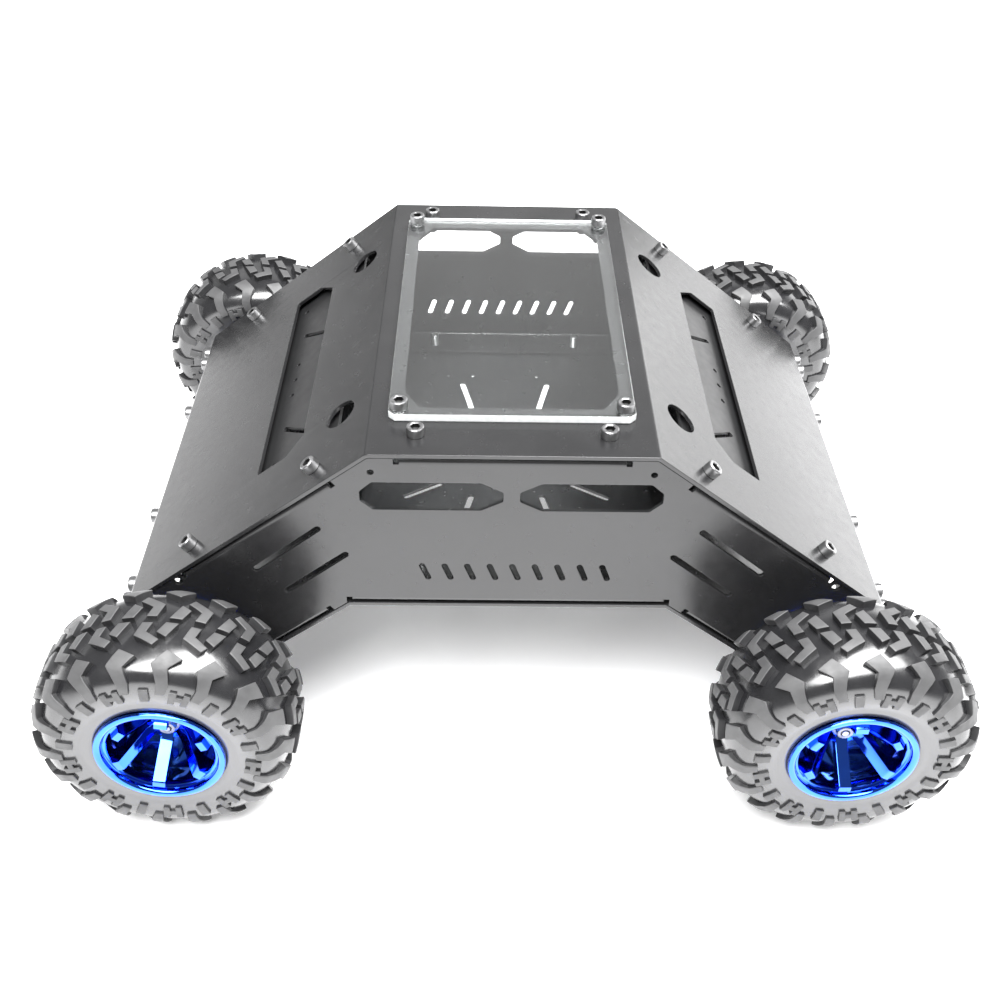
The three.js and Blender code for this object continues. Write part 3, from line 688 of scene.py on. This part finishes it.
class Flange:
    """A strip beyond one edge of a web, from one distance along the edge to another."""

    def __init__(self, start, end, near, far):
        self.start = Vector(start)
        self.along = (Vector(end) - self.start).normalized()
        self.out = Vector((self.along.y, -self.along.x))
        self.near = near
        self.far = far

    def spot(self, s, out):
        return tuple(self.start + self.along * s + self.out * out)

    def outline(self):
        near, far, reach, corner = self.near, self.far, FLANGE_REACH, FLANGE_CORNER
        return [
            self.spot(near - NOTCH_WIDTH, 0),
            self.spot(near - NOTCH_WIDTH, -NOTCH_DEPTH),
            self.spot(near, -NOTCH_DEPTH),
            self.spot(near, reach - corner),
            self.spot(near + corner, reach),
            self.spot(far - corner, reach),
            self.spot(far, reach - corner),
            self.spot(far, -NOTCH_DEPTH),
            self.spot(far + NOTCH_WIDTH, -NOTCH_DEPTH),
            self.spot(far + NOTCH_WIDTH, 0),
        ]

    def bend_lines(self):
        lines = []
        for i in range(BEND_STEPS + 1):
            out = -SHEET / 2 - BEND_RADIUS + QUARTER_BEND * i / BEND_STEPS
            lines.append((self.spot(0, out), tuple(self.out)))
        return lines

    def fold(self, x, z, h):
        """The folded place of a point of the strip, or None if the point isn't on it."""
        offset = Vector((x, z)) - self.start
        s = offset.dot(self.along)
        beyond = offset.dot(self.out) + SHEET / 2 + BEND_RADIUS
        if beyond <= 0 or not self.near - 0.01 <= s <= self.far + 0.01:
            return None
        angle = min(beyond / BEND_RADIUS, TAU / 4)
        radius = BEND_RADIUS + h
        out = radius * math.sin(angle) - SHEET / 2 - BEND_RADIUS
        inward = BEND_RADIUS - radius * math.cos(angle) + max(beyond - QUARTER_BEND, 0)
        spot = self.start + self.along * s + self.out * out
        return spot.x, spot.y, inward


def side_edges():
    """The web's corners, counter-clockwise seen from outside, with the flange that follows each one."""
    skin = shifted(COVER_LINE, -SHEET - GAP)
    roof_z = skin[1].y
    hood_corner = (skin[1].x, roof_z)
    end_corner = (SIDE_END_X, skin[2].y)
    foot = (SIDE_END_X, FOOT_Z + FOOT_CORNER)
    hood_length = (Vector(end_corner) - Vector(hood_corner)).length
    wing_length = (BELLY_Z - FOOT_Z) / math.sin(HOOD_ANGLE)

    def flip(point):
        return (-point[0], point[1])

    belly = (BELLY_HALF_LENGTH, BELLY_Z)
    toe_in = (FOOT_INNER_X, FOOT_Z)
    toe_out = (FOOT_OUTER_X, FOOT_Z)
    wall_low, wall_high = [height - foot[1] for height in END_FLANGE]
    wall_top = end_corner[1] - foot[1]
    high, low = HOOD_FLANGE
    top, bottom = WING_FLANGE
    roof_near = hood_corner[0] - ROOF_FLANGE_HALF
    roof_far = hood_corner[0] + ROOF_FLANGE_HALF
    belly_far = 2 * BELLY_HALF_LENGTH - BELLY_FLANGE_INSET
    return [
        (foot, end_corner, (wall_low, wall_high)),
        (end_corner, hood_corner, (hood_length - low, hood_length - high)),
        (hood_corner, flip(hood_corner), (roof_near, roof_far)),
        (flip(hood_corner), flip(end_corner), (high, low)),
        (flip(end_corner), flip(foot), (wall_top - wall_high, wall_top - wall_low)),
        (flip(foot), flip(toe_out), None),
        (flip(toe_out), flip(toe_in), None),
        (flip(toe_in), flip(belly), (wing_length - bottom, wing_length - top)),
        (flip(belly), belly, (BELLY_FLANGE_INSET, belly_far)),
        (belly, toe_in, (top, bottom)),
        (toe_in, toe_out, None),
        (toe_out, foot, None),
    ]


def side_window_corners(mirror):
    low, high = SIDE_WINDOW["low"], SIDE_WINDOW["high"]
    inner, outer = SIDE_WINDOW["inner"], SIDE_WINDOW["outer"]
    inner_cut, outer_cut = SIDE_WINDOW["inner_cut"], SIDE_WINDOW["outer_cut"]
    rise = (high - low) / 3
    corners = [
        (inner, low + rise),
        (inner + inner_cut, low),
        (outer - outer_cut, low),
        (outer, low + rise),
        (outer, high - rise),
        (outer - outer_cut, high),
        (inner + inner_cut, high),
        (inner, high - rise),
    ]
    return [(mirror * x, z) for x, z in corners]


def vent_slots():
    half = (VENT["length"] - VENT["width"]) / 2
    shift = half * math.sin(VENT["lean"])
    rise = half * math.cos(VENT["lean"])
    slots = []
    for i in range(VENT["count"]):
        x = VENT["middle"] + (i - (VENT["count"] - 1) / 2) * VENT["pitch"]
        slots.append(slot_hole((x - shift, VENT["z"] - rise), (x + shift, VENT["z"] + rise), VENT["width"]))
    return slots


def side_web():
    """The unfolded side plate, and its flanges."""
    outline = []
    flanges = []
    for start, end, reach in side_edges():
        outline.append(start)
        if reach:
            strip = Flange(start, end, *reach)
            outline += strip.outline()
            flanges.append(strip)
    holes = vent_slots()
    for mirror in (1, -1):
        holes.append(rounded(side_window_corners(mirror), 1.5, 3))
        holes.append(round_hole(mirror * ROOF_PIN[0], ROOF_PIN[1], ROOF_PIN[2], 12))
        holes.append(round_hole(mirror * LEG_PIN[0], LEG_PIN[1], LEG_PIN[2], 16))
        holes.append(round_hole(mirror * WHEEL_X, TYRE_RADIUS, AXLE_HOLE_RADIUS, 32))
        for ends in LEG_SLOTS:
            start, end = [(mirror * x, z) for x, z in ends]
            holes.append(slot_hole(start, end, LEG_SLOT_WIDTH))
    bm = flat_plate(outline, holes, SHEET, SHEET_EDGE)
    for strip in flanges:
        cut_lines(bm, strip.bend_lines())
    return bm, flanges


def make_side_plates():
    bm, flanges = side_web()

    def place(x, z, h):
        for strip in flanges:
            folded = strip.fold(x, z, h)
            if folded:
                return Vector((folded[0], SIDE_OUTER_Y - SHEET / 2 - folded[2], folded[1]))
        return Vector((x, SIDE_OUTER_Y - SHEET / 2 + h, z))

    reshape(bm, place)
    bmesh.ops.recalc_face_normals(bm, faces=bm.faces)
    mesh = mesh_of(bm, "side_plate_sheet")
    for name, turn in (("side_plate_left", 0), ("side_plate_right", math.pi)):
        piece(name + "_sheet", mesh, "black_sheet", "chassis", "black_sheet",
              place=Matrix.Rotation(turn, 4, "Z"), replaces=(name,))


# ---- Window ----


def make_window():
    outline = cut_rectangle(0, *WINDOW_HALF, WINDOW_CORNER, WINDOW_CORNER)
    holes = []
    for sx, sy in SIGNS:
        holes.append(round_hole(sx * WINDOW_SCREW[0], sy * WINDOW_SCREW[1], SCREW_HOLE_RADIUS, 32))
    bm = flat_plate(outline, holes, WINDOW_THICKNESS, WINDOW_EDGE)
    middle = ROOF_Z + GAP + WINDOW_THICKNESS / 2
    for face in bm.faces:
        x, y, _ = face.calc_center_median()
        outer = max(abs(x) - WINDOW_HALF[0], abs(y) - WINDOW_HALF[1]) > -WINDOW_CORNER / 2 - 0.2
        face.material_index = 1 if outer and abs(face.normal.z) < 0.9 else 0
    bmesh.ops.translate(bm, vec=(0, 0, middle), verts=bm.verts)
    mesh = mesh_of(bm, "window")
    mesh.materials.append(LOOKS["clear_window"])
    mesh.materials.append(LOOKS["window_edge"])
    piece("window", mesh, None, "chassis", "clear_window", replaces=("window_pane",))


# ---- Fasteners ----

LONG_SCREW = 14
SHORT_SCREW = 12
END_SCREW_LENGTH = 10
SCREW_SIDES = 72
KNURL = 36
KNURL_DEPTH = 0.13
THREAD_PITCH = 0.8
THREAD_DEPTH = 0.35


def knurled(angle):
    return HEAD_RADIUS - KNURL_DEPTH * (1 + math.cos(KNURL * angle)) / 2


def screw_mesh(length):
    """A knurled socket cap screw standing on z = 0, with its threaded shank below."""
    top = HEAD_HEIGHT
    profile = [(SHANK_RADIUS - 0.5, -length)]
    for i in range(int((length - 1) / THREAD_PITCH)):
        low = -length + 0.4 + i * THREAD_PITCH
        profile += [(SHANK_RADIUS, low), (SHANK_RADIUS - THREAD_DEPTH, low + THREAD_PITCH / 2)]
    profile += [
        (SHANK_RADIUS, 0),
        (HEAD_RADIUS - 0.35, 0),
        (HEAD_RADIUS - 0.1, 0.2),
        (knurled, 0.5),
        (knurled, top - 0.95),
        (HEAD_RADIUS - 0.12, top - 0.7),
        (HEAD_RADIUS - 0.15, top - 0.4),
        (HEAD_RADIUS - 0.55, top),
        (HEX_RADIUS + 0.35, top),
        (hexagon(HEX_RADIUS), top - 0.3),
        (hexagon(HEX_RADIUS), top - HEX_DEPTH),
        (0.3, top - HEX_DEPTH - 0.9),
    ]
    bm = lathe(profile, SCREW_SIDES)
    for face in bm.faces:
        x, y, z = face.calc_center_median()
        # Faces inside the hex socket take the painted shade.
        face.material_index = 1 if math.hypot(x, y) < HEX_RADIUS and 1 < z < top - 0.2 else 0
    mesh = mesh_of(bm, "cap_screw", 35)
    mesh.materials.append(LOOKS["screw_steel"])
    mesh.materials.append(LOOKS["socket_painted_shade"])
    return mesh


def facing(x, y, z, tilt):
    """A place whose Z points out of a face that is tilted about Y."""
    return Matrix.Translation((x * MM, y * MM, z * MM)) @ Matrix.Rotation(tilt, 4, "Y")


def at_end(end, place):
    return place if end > 0 else Matrix.Rotation(math.pi, 4, "Z") @ place


def put_screw(name, mesh, place, node=None):
    replaces = (node,) if node else ()
    piece(name, mesh, "screw_steel", "chassis", "screw_steel", place=place, replaces=replaces)


def make_screws():
    long_screw = screw_mesh(LONG_SCREW)
    short_screw = screw_mesh(SHORT_SCREW)
    wall_screw = screw_mesh(END_SCREW_LENGTH)
    glass_z = ROOF_Z + WINDOW_THICKNESS + GAP
    for i, (sx, sy) in enumerate(SIGNS):
        corner = i + 1
        spot = (sx * ROOF_SCREW_X, sy * SCREW_LINE_Y)
        window_place = facing(sx * WINDOW_SCREW[0], sy * WINDOW_SCREW[1], glass_z, 0)
        put_screw(f"window_cap_screw_{corner}", long_screw, window_place, f"window_screw_{corner}")
        put_screw(f"roof_cap_screw_{corner}", short_screw, facing(*spot, ROOF_Z, 0), f"roof_screw_{corner}")
        belly_place = facing(spot[0], spot[1], BELLY_Z - SHEET - GAP, math.pi)
        put_screw(f"belly_cap_screw_{corner}", short_screw, belly_place, f"belly_screw_{corner}")
    for label, (sx, sy) in CORNERS.items():
        side = sx * sy
        for row, distance in zip(("upper", "lower"), HOOD_SCREWS):
            x, z = down_hood(distance)
            place = at_end(sx, facing(x, side * SCREW_LINE_Y, z, HOOD_ANGLE))
            put_screw(f"hood_cap_screw_{row}_{label}", long_screw, place, f"hood_screw_{row}_{label}")
        wall = at_end(sx, facing(HOOD_END_X, side * END_SCREW[0], END_SCREW[1], math.pi / 2))
        put_screw(f"end_cap_screw_{label}", wall_screw, wall, f"end_screw_{label}")
        for i, y in enumerate(END_SCREW_EXTRA_Y):
            extra = at_end(sx, facing(HOOD_END_X, side * y, END_SCREW[1], math.pi / 2))
            put_screw(f"end_cap_screw_{label}_{i + 2}", wall_screw, extra)


# ---- Tyres ----

PITCHES = 18
PITCH_ANGLE = TAU / PITCHES
CARCASS_SIDES = 144
CARCASS_STEPS = 44
LUG_STEP = 3.0  # between the cuts that let a lug follow the tyre's curve
GROOVE_BLEND = (18.0, 20.0)  # where the groove's depth starts to change, and over what length
BEAD_FADE = (50.0, 4.0)  # where the groove runs out into the bead, and over what length
BEAD_SHARE = 0.75
BEAD = ((30.7, 26.4), (30.5, 24.0))
LUG_EDGE = 0.32
TREAD_DEPTH = 4.8  # of the centre blocks, down to below the carcass
SIDE_LUG_DEPTH = 2.8
GROOVE = (3.7, 1.3)  # how far the carcass lies below the lugs, on the crown and on the sidewall

# Half of the line over the lugs' tops: radius and distance from the tyre's middle.
TOP_LINE = (
    (65.0, 0.0), (65.0, 8.5), (64.2, 15.0), (62.3, 21.0), (58.5, 26.0),
    (53.0, 29.0), (47.0, 30.0), (41.0, 29.8), (35.0, 28.6), (31.2, 27.4),
)

# Places of the looks in a tyre's mesh; the casing's own is the first.
# The lug tops' look is painted light, the lug sides' look is painted shade.
LUG_TOP_PAINTED_LIGHT = 1
LUG_SIDE_PAINTED_SHADE = 2

# Outlines of one pitch: along the tread at its full radius, and across it from the middle.
CHEVRON = ((-3.0, 2.0), (-5.5, 10.1), (4.0, 15.3), (6.6, 12.1), (0.0, 7.9), (2.0, 2.0))
BAR = ((7.9, 1.4), (4.7, 7.8), (9.3, 10.4), (13.9, 1.4))
HOOK = (
    (11.6, 17.0), (4.9, 24.4), (6.9, 29.2), (8.2, 34.0), (7.6, 40.6), (13.6, 40.6),
    (15.2, 34.3), (14.0, 28.6), (13.6, 26.0), (19.6, 20.9),
)
SIDE_BAR = ((-2.6, 38.2), (-3.2, 46.2), (3.4, 46.2), (3.4, 38.2))
SIDE_H = (
    (-6.0, 38.2), (-6.8, 46.2), (-1.9, 46.2), (-1.8, 43.6), (2.4, 43.6), (2.5, 46.2),
    (7.4, 46.2), (7.2, 38.2), (3.0, 38.2), (2.8, 40.8), (-1.4, 40.8), (-1.5, 38.2),
)


class SmoothLine:
    """A smooth curve through points, measured by its length."""

    def __init__(self, points, steps=8):
        vectors = [Vector(point) for point in points]
        first = 2 * vectors[0] - vectors[1]
        last = 2 * vectors[-1] - vectors[-2]
        guides = [first, *vectors, last]
        self.points = []
        for a, b, c, d in zip(guides, guides[1:], guides[2:], guides[3:]):
            for i in range(steps):
                t = i / steps
                square = 2 * a - 5 * b + 4 * c - d
                cube = 3 * b - a - 3 * c + d
                blend = 2 * b + (c - a) * t + square * t**2 + cube * t**3
                self.points.append(blend / 2)
        self.points.append(vectors[-1])
        self.reach = [0.0]
        for a, b in zip(self.points, self.points[1:]):
            self.reach.append(self.reach[-1] + (b - a).length)

    def at(self, distance):
        """The point at a distance along the curve, and the direction away from the axle side."""
        i = 0
        while i < len(self.reach) - 2 and self.reach[i + 1] < distance:
            i += 1
        a, b = self.points[i], self.points[i + 1]
        share = (distance - self.reach[i]) / (self.reach[i + 1] - self.reach[i])
        along = (b - a).normalized()
        return a + (b - a) * share, Vector((along.y, -along.x))


TOPS = SmoothLine(TOP_LINE)


def tyre_place(t, p, h):
    """A point at t along the tread, p across it and h above the lugs' tops; the axle is along Y."""
    spot, out = TOPS.at(abs(p))
    spot = spot + out * h
    angle = t / TYRE_RADIUS
    side = 1 if p >= 0 else -1
    return Vector((spot.x * math.sin(angle), side * spot.y, spot.x * math.cos(angle)))


def block(outline, depth):
    """One lug: its outline softened, cut every few millimetres so that it follows the tyre's curve."""
    bm = flat_plate(outline, [], depth, LUG_EDGE)
    bmesh.ops.translate(bm, vec=(0, 0, -depth / 2), verts=bm.verts)
    for face in bm.faces:
        # Faces on a lug's top get the painted-light tone, the others the painted-shade tone.
        face.material_index = LUG_TOP_PAINTED_LIGHT if face.calc_center_median().z > -LUG_EDGE else LUG_SIDE_PAINTED_SHADE
    for axis in (0, 1):
        values = [point[axis] for point in outline]
        first = math.ceil(min(values) / LUG_STEP + 0.2)
        last = math.floor(max(values) / LUG_STEP - 0.2)
        normal = (1, 0) if axis == 0 else (0, 1)
        for i in range(first, last + 1):
            cut_lines(bm, [((normal[0] * LUG_STEP * i, normal[1] * LUG_STEP * i), normal)])
    return bm


def lugs_of_pitch(with_bar):
    """The lugs of one pitch, on both halves: the second half is the first turned half round."""
    side_lug = SIDE_BAR if with_bar else SIDE_H
    shapes = ((CHEVRON, TREAD_DEPTH), (BAR, TREAD_DEPTH), (HOOK, TREAD_DEPTH), (side_lug, SIDE_LUG_DEPTH))
    parts = []
    for shape, depth in shapes:
        parts.append(block(shape, depth))
        parts.append(block([(-t, -p) for t, p in shape], depth))
    whole = merged(parts)
    reshape(whole, tyre_place)
    return whole


def carcass():
    """The casing under the lugs: a closed ring, with its beads seated on the rim."""
    length = TOPS.reach[-1]
    half = []
    for i in range(CARCASS_STEPS + 1):
        p = length * i / CARCASS_STEPS
        spot, out = TOPS.at(p)
        share = min(max((p - GROOVE_BLEND[0]) / GROOVE_BLEND[1], 0), 1)
        share = share * share * (3 - 2 * share)
        fade = min(max((p - BEAD_FADE[0]) / BEAD_FADE[1], 0), 1)
        drop = (GROOVE[0] + (GROOVE[1] - GROOVE[0]) * share) * (1 - BEAD_SHARE * fade)
        spot = spot - out * drop
        half.append((spot.x, spot.y))
    half += BEAD
    profile = [(r, -y) for r, y in half[:0:-1]] + half
    return along_y(lathe(profile, CARCASS_SIDES, closed=True))


def tyre_mesh(name, mirror, turn):
    lugs = bmesh.new()
    for with_bar in (True, False):
        unit = lugs_of_pitch(with_bar)
        spare = bpy.data.meshes.new("unit")
        unit.to_mesh(spare)
        unit.free()
        for i in range(0 if with_bar else 1, PITCHES, 2):
            start = len(lugs.verts)
            lugs.from_mesh(spare)
            lugs.verts.ensure_lookup_table()
            pitch = Matrix.Rotation(PITCH_ANGLE * i, 4, "Y")
            bmesh.ops.transform(lugs, matrix=pitch, verts=lugs.verts[start:])
        bpy.data.meshes.remove(spare)
    whole = merged([carcass(), lugs])
    if mirror:
        turned_geometry(whole, Matrix.Scale(-1, 4, Vector((1, 0, 0))))
    turned_geometry(whole, Matrix.Rotation(math.radians(turn), 4, "Y"))
    mesh = mesh_of(whole, name, 50)
    for look in ("tyre_carcass", "tyre_lug_tops_painted_light", "tyre_lug_sides_painted_shade"):
        mesh.materials.append(LOOKS[look])
    return mesh


# ---- Rims ----

SPOKES = 6
SPOKE_WIDTH = 6.2
SPOKE_EDGE = 0.3
RIM_SIDES = 120

# Radius and distance outwards from the wheel's middle.
RIM_FRONT = (
    (30.2, 24.0), (30.2, 27.6), (31.2, 27.7), (31.7, 28.3), (31.7, 29.0), (31.3, 29.7), (30.5, 30.0),
    (29.4, 30.0), (28.6, 29.7), (28.1, 29.1), (27.9, 28.2), (27.8, 27.0), (27.5, 26.7), (26.4, 26.6),
    (26.0, 26.2), (25.9, 24.0), (26.2, 20.0), (27.4, 17.5), (28.0, 14.0),
)
SPOKE_SIDE = (
    (27.4, 26.4), (25.6, 26.8), (24.6, 28.6), (24.2, 29.3), (20.9, 29.3), (20.2, 28.6), (9.8, 12.0),
    (6.0, 8.8), (6.0, 3.0), (11.0, 3.0), (21.0, 19.0), (27.4, 20.0),
)


RIM_BACK = (
    (28.0, -20.0), (28.0, -29.2), (28.6, -30.0), (31.0, -30.0), (31.7, -29.4), (31.7, -28.3), (30.2, -27.9),
    (30.2, -24.0),
)
RIM_DISC = (
    (2.5, 1.2), (10.4, 1.2), (11.0, 1.8), (11.0, 8.2), (10.2, 9.0), (7.6, 9.0), (7.0, 8.4), (6.8, 8.2),
    (2.5, 8.2),
)


def rim_barrel():
    profile = RIM_FRONT + RIM_BACK
    return along_y(lathe(profile, RIM_SIDES, closed=True))


def rim_spoke(index):
    """A spoke: its side view drawn out to its width, from a flat tab at the lip down to the disc."""
    bm = flat_plate(SPOKE_SIDE, [], SPOKE_WIDTH, SPOKE_EDGE)
    angle = (index + 0.5) * TAU / SPOKES
    return turned_geometry(bm, Matrix.Rotation(angle, 4, "Y"))


def rim_disc():
    return along_y(lathe(RIM_DISC, 60, closed=True))


def rim_mesh(turn):
    parts = [rim_barrel(), rim_disc()]
    parts += [rim_spoke(i) for i in range(SPOKES)]
    whole = turned_geometry(merged(parts), Matrix.Rotation(math.radians(turn), 4, "Y"))
    return mesh_of(whole, "rim", 38)


# ---- Drive parts, along local Y with the outside of the vehicle towards +Y ----

GEARBOX_RADIUS = 18.5
GEARBOX_LENGTH = 24.0
GEARBOX_OFFSET = 7.0
CAN_RADIUS = 17.5
CAN_LENGTH = 30.0
BOSS_RADIUS = 6.0
BOSS_END_Y = 128.0
SHAFT_RADIUS = 3.0
SHAFT_FLAT = 2.5
SHAFT_END_Y = -20.5
TERMINAL_HALF = (1.4, 3.0)
TERMINAL_THICKNESS = 0.6
TERMINAL_X = 10.5
HUB_RADIUS = 9.0
HUB_LENGTH = 24.2
HUB_HEX_RADIUS = 7.0
STUD_RADIUS = 2.2
STUD_PITCH = 1.1
STUD_TURNS = 10
STUD_END_Y = 12.4
NUT = (8.3, 12.0)
NUT_RADIUS = 4.6
WASHER_RADIUS = 5.8
FACE = SIDE_OUTER_Y - SHEET - GAP - WHEEL_MID_Y


def gearbox_mesh(offset_x, offset_z):
    back = FACE - GEARBOX_LENGTH
    body = along_y(lathe([
        (0.5, FACE), (GEARBOX_RADIUS - 0.6, FACE), (GEARBOX_RADIUS, FACE - 0.6), (GEARBOX_RADIUS, FACE - 3),
        (GEARBOX_RADIUS - 0.5, FACE - 3.4), (GEARBOX_RADIUS - 0.5, back + 2.6), (GEARBOX_RADIUS, back + 2.2),
        (GEARBOX_RADIUS, back + 0.5), (GEARBOX_RADIUS - 0.5, back), (0.5, back),
    ], 64))
    bmesh.ops.translate(body, vec=(offset_x, 0, offset_z), verts=body.verts)
    end = BOSS_END_Y - WHEEL_MID_Y
    boss = along_y(lathe([
        (SHAFT_RADIUS + 0.1, FACE - 2), (BOSS_RADIUS, FACE - 2), (BOSS_RADIUS, end - 0.5),
        (BOSS_RADIUS - 0.5, end), (SHAFT_RADIUS + 0.6, end), (SHAFT_RADIUS + 0.1, end - 0.5),
    ], 40, closed=True))
    return mesh_of(merged([body, boss]), "gearbox")


def can_mesh():
    front = FACE - GAP - GEARBOX_LENGTH
    back = front - CAN_LENGTH
    parts = [along_y(lathe([
        (0.5, front), (CAN_RADIUS - 0.8, front), (CAN_RADIUS, front - 0.8), (CAN_RADIUS, back + 4),
        (CAN_RADIUS - 0.4, back + 3.6), (CAN_RADIUS - 0.4, back + 2), (CAN_RADIUS - 2, back),
        (6.0, back), (5.4, back - 0.4), (5.0, back - 2.6), (4.6, back - 3), (0.5, back - 3),
    ], 64))]
    half_x, half_y = TERMINAL_HALF
    outline = rounded([(-half_x, -half_y), (half_x, -half_y), (half_x, half_y), (-half_x, half_y)], 0.6, 3)
    for side in (1, -1):
        terminal = flat_plate(outline, [], TERMINAL_THICKNESS, 0.1)
        bmesh.ops.translate(terminal, vec=(side * TERMINAL_X, back, 0), verts=terminal.verts)
        parts.append(terminal)
    return mesh_of(merged(parts), "motor_can")


def hub_mesh():
    """A round coupler with a hexagon that drives the rim, and a threaded stud for the nut."""
    inside = BOSS_END_Y + 0.5 - WHEEL_MID_Y
    outside = inside + HUB_LENGTH
    hexagonal = hexagon(HUB_HEX_RADIUS)
    profile = [
        (SHAFT_RADIUS + 0.3, inside),
        (HUB_RADIUS - 0.6, inside),
        (HUB_RADIUS, inside + 0.6),
        (HUB_RADIUS, outside - 0.6),
        (HUB_RADIUS - 0.6, outside),
        (hexagonal, outside + 0.2),
        (hexagonal, 0.4),
        (6.0, 0.7),
        (STUD_RADIUS, 0.7),
    ]
    for i in range(STUD_TURNS):
        profile += [(STUD_RADIUS, 1.2 + i * STUD_PITCH), (STUD_RADIUS - 0.25, 1.7 + i * STUD_PITCH)]
    profile.append((STUD_RADIUS - 0.5, STUD_END_Y))
    return mesh_of(along_y(lathe(profile, 60)), "wheel_hub")


def nut_mesh():
    """A hexagon nut on its washer."""
    low, high = NUT
    hexagonal = hexagon(NUT_RADIUS)
    profile = [
        (2.4, low),
        (WASHER_RADIUS - 0.2, low),
        (WASHER_RADIUS, low + 0.3),
        (WASHER_RADIUS - 0.2, low + 0.6),
        (hexagonal, low + 0.7),
        (hexagonal, high - 0.5),
        (3.9, high),
        (2.4, high),
    ]
    return mesh_of(along_y(lathe(profile, 48, closed=True)), "wheel_nut")


def shaft_mesh():
    """The output shaft, with a flat along the part that the hub grips."""

    def flattened(angle):
        return min(SHAFT_RADIUS, SHAFT_FLAT / max(math.cos(angle), 0.01))

    start = BOSS_END_Y - 15 - WHEEL_MID_Y
    profile = [
        (SHAFT_RADIUS, start),
        (SHAFT_RADIUS, start + 6),
        (flattened, start + 6.2),
        (flattened, SHAFT_END_Y - 0.4),
        (2.2, SHAFT_END_Y),
    ]
    return mesh_of(along_y(lathe(profile, 48)), "output_shaft")


RIM_TURN = {"front_left": 20.0, "front_right": 1.0, "rear_left": 45.0, "rear_right": -10.0}
TYRE_TURN = {"front_left": 3.0, "front_right": 8.0, "rear_left": 5.5, "rear_right": 0.0}


def wheel_place(label):
    sx, sy = CORNERS[label]
    place = Matrix.Translation((sx * WHEEL_X * MM, sy * WHEEL_MID_Y * MM, TYRE_RADIUS * MM))
    return place @ Matrix.Rotation(0 if sy > 0 else math.pi, 4, "Z")


def make_wheels():
    hub = hub_mesh()
    nut = nut_mesh()
    shaft = shaft_mesh()
    can = can_mesh()
    for label, (sx, sy) in CORNERS.items():
        body = "wheel_" + label
        place = wheel_place(label)
        tyre = tyre_mesh("tyre_" + label, label == "rear_right", TYRE_TURN[label])
        rim = rim_mesh(RIM_TURN[label])
        turning = (
            ("knobbly_tyre_", tyre, "tyre_rubber", "tyre_"),
            ("spoked_rim_", rim, "blue_chrome", "rim_"),
            ("hub_", hub, "gearbox_steel", "wheel_hub_"),
            ("nut_", nut, "screw_steel", "wheel_nut_"),
            ("shaft_", shaft, "gearbox_steel", "output_shaft_"),
        )
        for name, mesh, slot, node in turning:
            piece(name + label, mesh, slot, body, slot, place, (node + label,))
        offset_x = -sx * sy * GEARBOX_OFFSET * math.cos(HOOD_ANGLE)
        offset_z = GEARBOX_OFFSET * math.sin(HOOD_ANGLE)
        box = gearbox_mesh(offset_x, offset_z)
        behind = place @ Matrix.Translation((offset_x * MM, 0, offset_z * MM))
        fixed = (
            ("gear_case_", box, "gearbox_steel", place, "gearbox_"),
            ("motor_", can, "motor_can", behind, "motor_can_"),
        )
        for name, mesh, slot, where, node in fixed:
            piece(name + label, mesh, slot, "chassis", slot, where, (node + label,))


# ---- Floor and light ----


FLOOR_HALF = 9.0
WORLD_STRENGTH = 0.27


def make_floor():
    bm = bmesh.new()
    bmesh.ops.create_grid(bm, x_segments=8, y_segments=8, size=FLOOR_HALF)
    mesh = bpy.data.meshes.new("floor")
    bm.to_mesh(mesh)
    bm.free()
    floor = bpy.data.objects.new("floor", mesh)
    mesh.materials.append(floor_look())
    bpy.context.scene.collection.objects.link(floor)


def softbox(name, place, aim, size, power):
    data = bpy.data.lights.new(name, "AREA")
    data.shape = "RECTANGLE"
    data.size, data.size_y = size
    data.energy = power
    light = bpy.data.objects.new(name, data)
    bpy.context.scene.collection.objects.link(light)
    light.location = place
    light.rotation_euler = (Vector(place) - Vector(aim)).to_track_quat("Z", "Y").to_euler()


def make_light():
    world = bpy.data.worlds.new("studio")
    world.use_nodes = True
    background = world.node_tree.nodes["Background"]
    background.inputs["Color"].default_value = (1, 1, 1, 1)
    background.inputs["Strength"].default_value = WORLD_STRENGTH
    bpy.context.scene.world = world
    bpy.context.scene.view_settings.view_transform = "Standard"
    softbox("overhead", (0.2, -0.35, 1.7), (0, -0.1, 0.1), (3.0, 1.1), 205)
    softbox("back", (0.0, 2.4, 1.5), (0, 0, 0.15), (3.0, 1.2), 8.5)
    softbox("right_back", (1.9, 1.7, 0.6), (0.1, 0, 0.15), (1.6, 1.0), 19)
    softbox("left_back", (-1.9, 1.7, 0.6), (-0.1, 0, 0.15), (1.6, 1.0), 1)


make_camera()
make_floor()
make_light()
make_cover()
make_belly()
make_brace("hood_brace_front", 1)
make_brace("hood_brace_rear", -1)
make_side_plates()
make_window()
make_screws()
make_wheels()
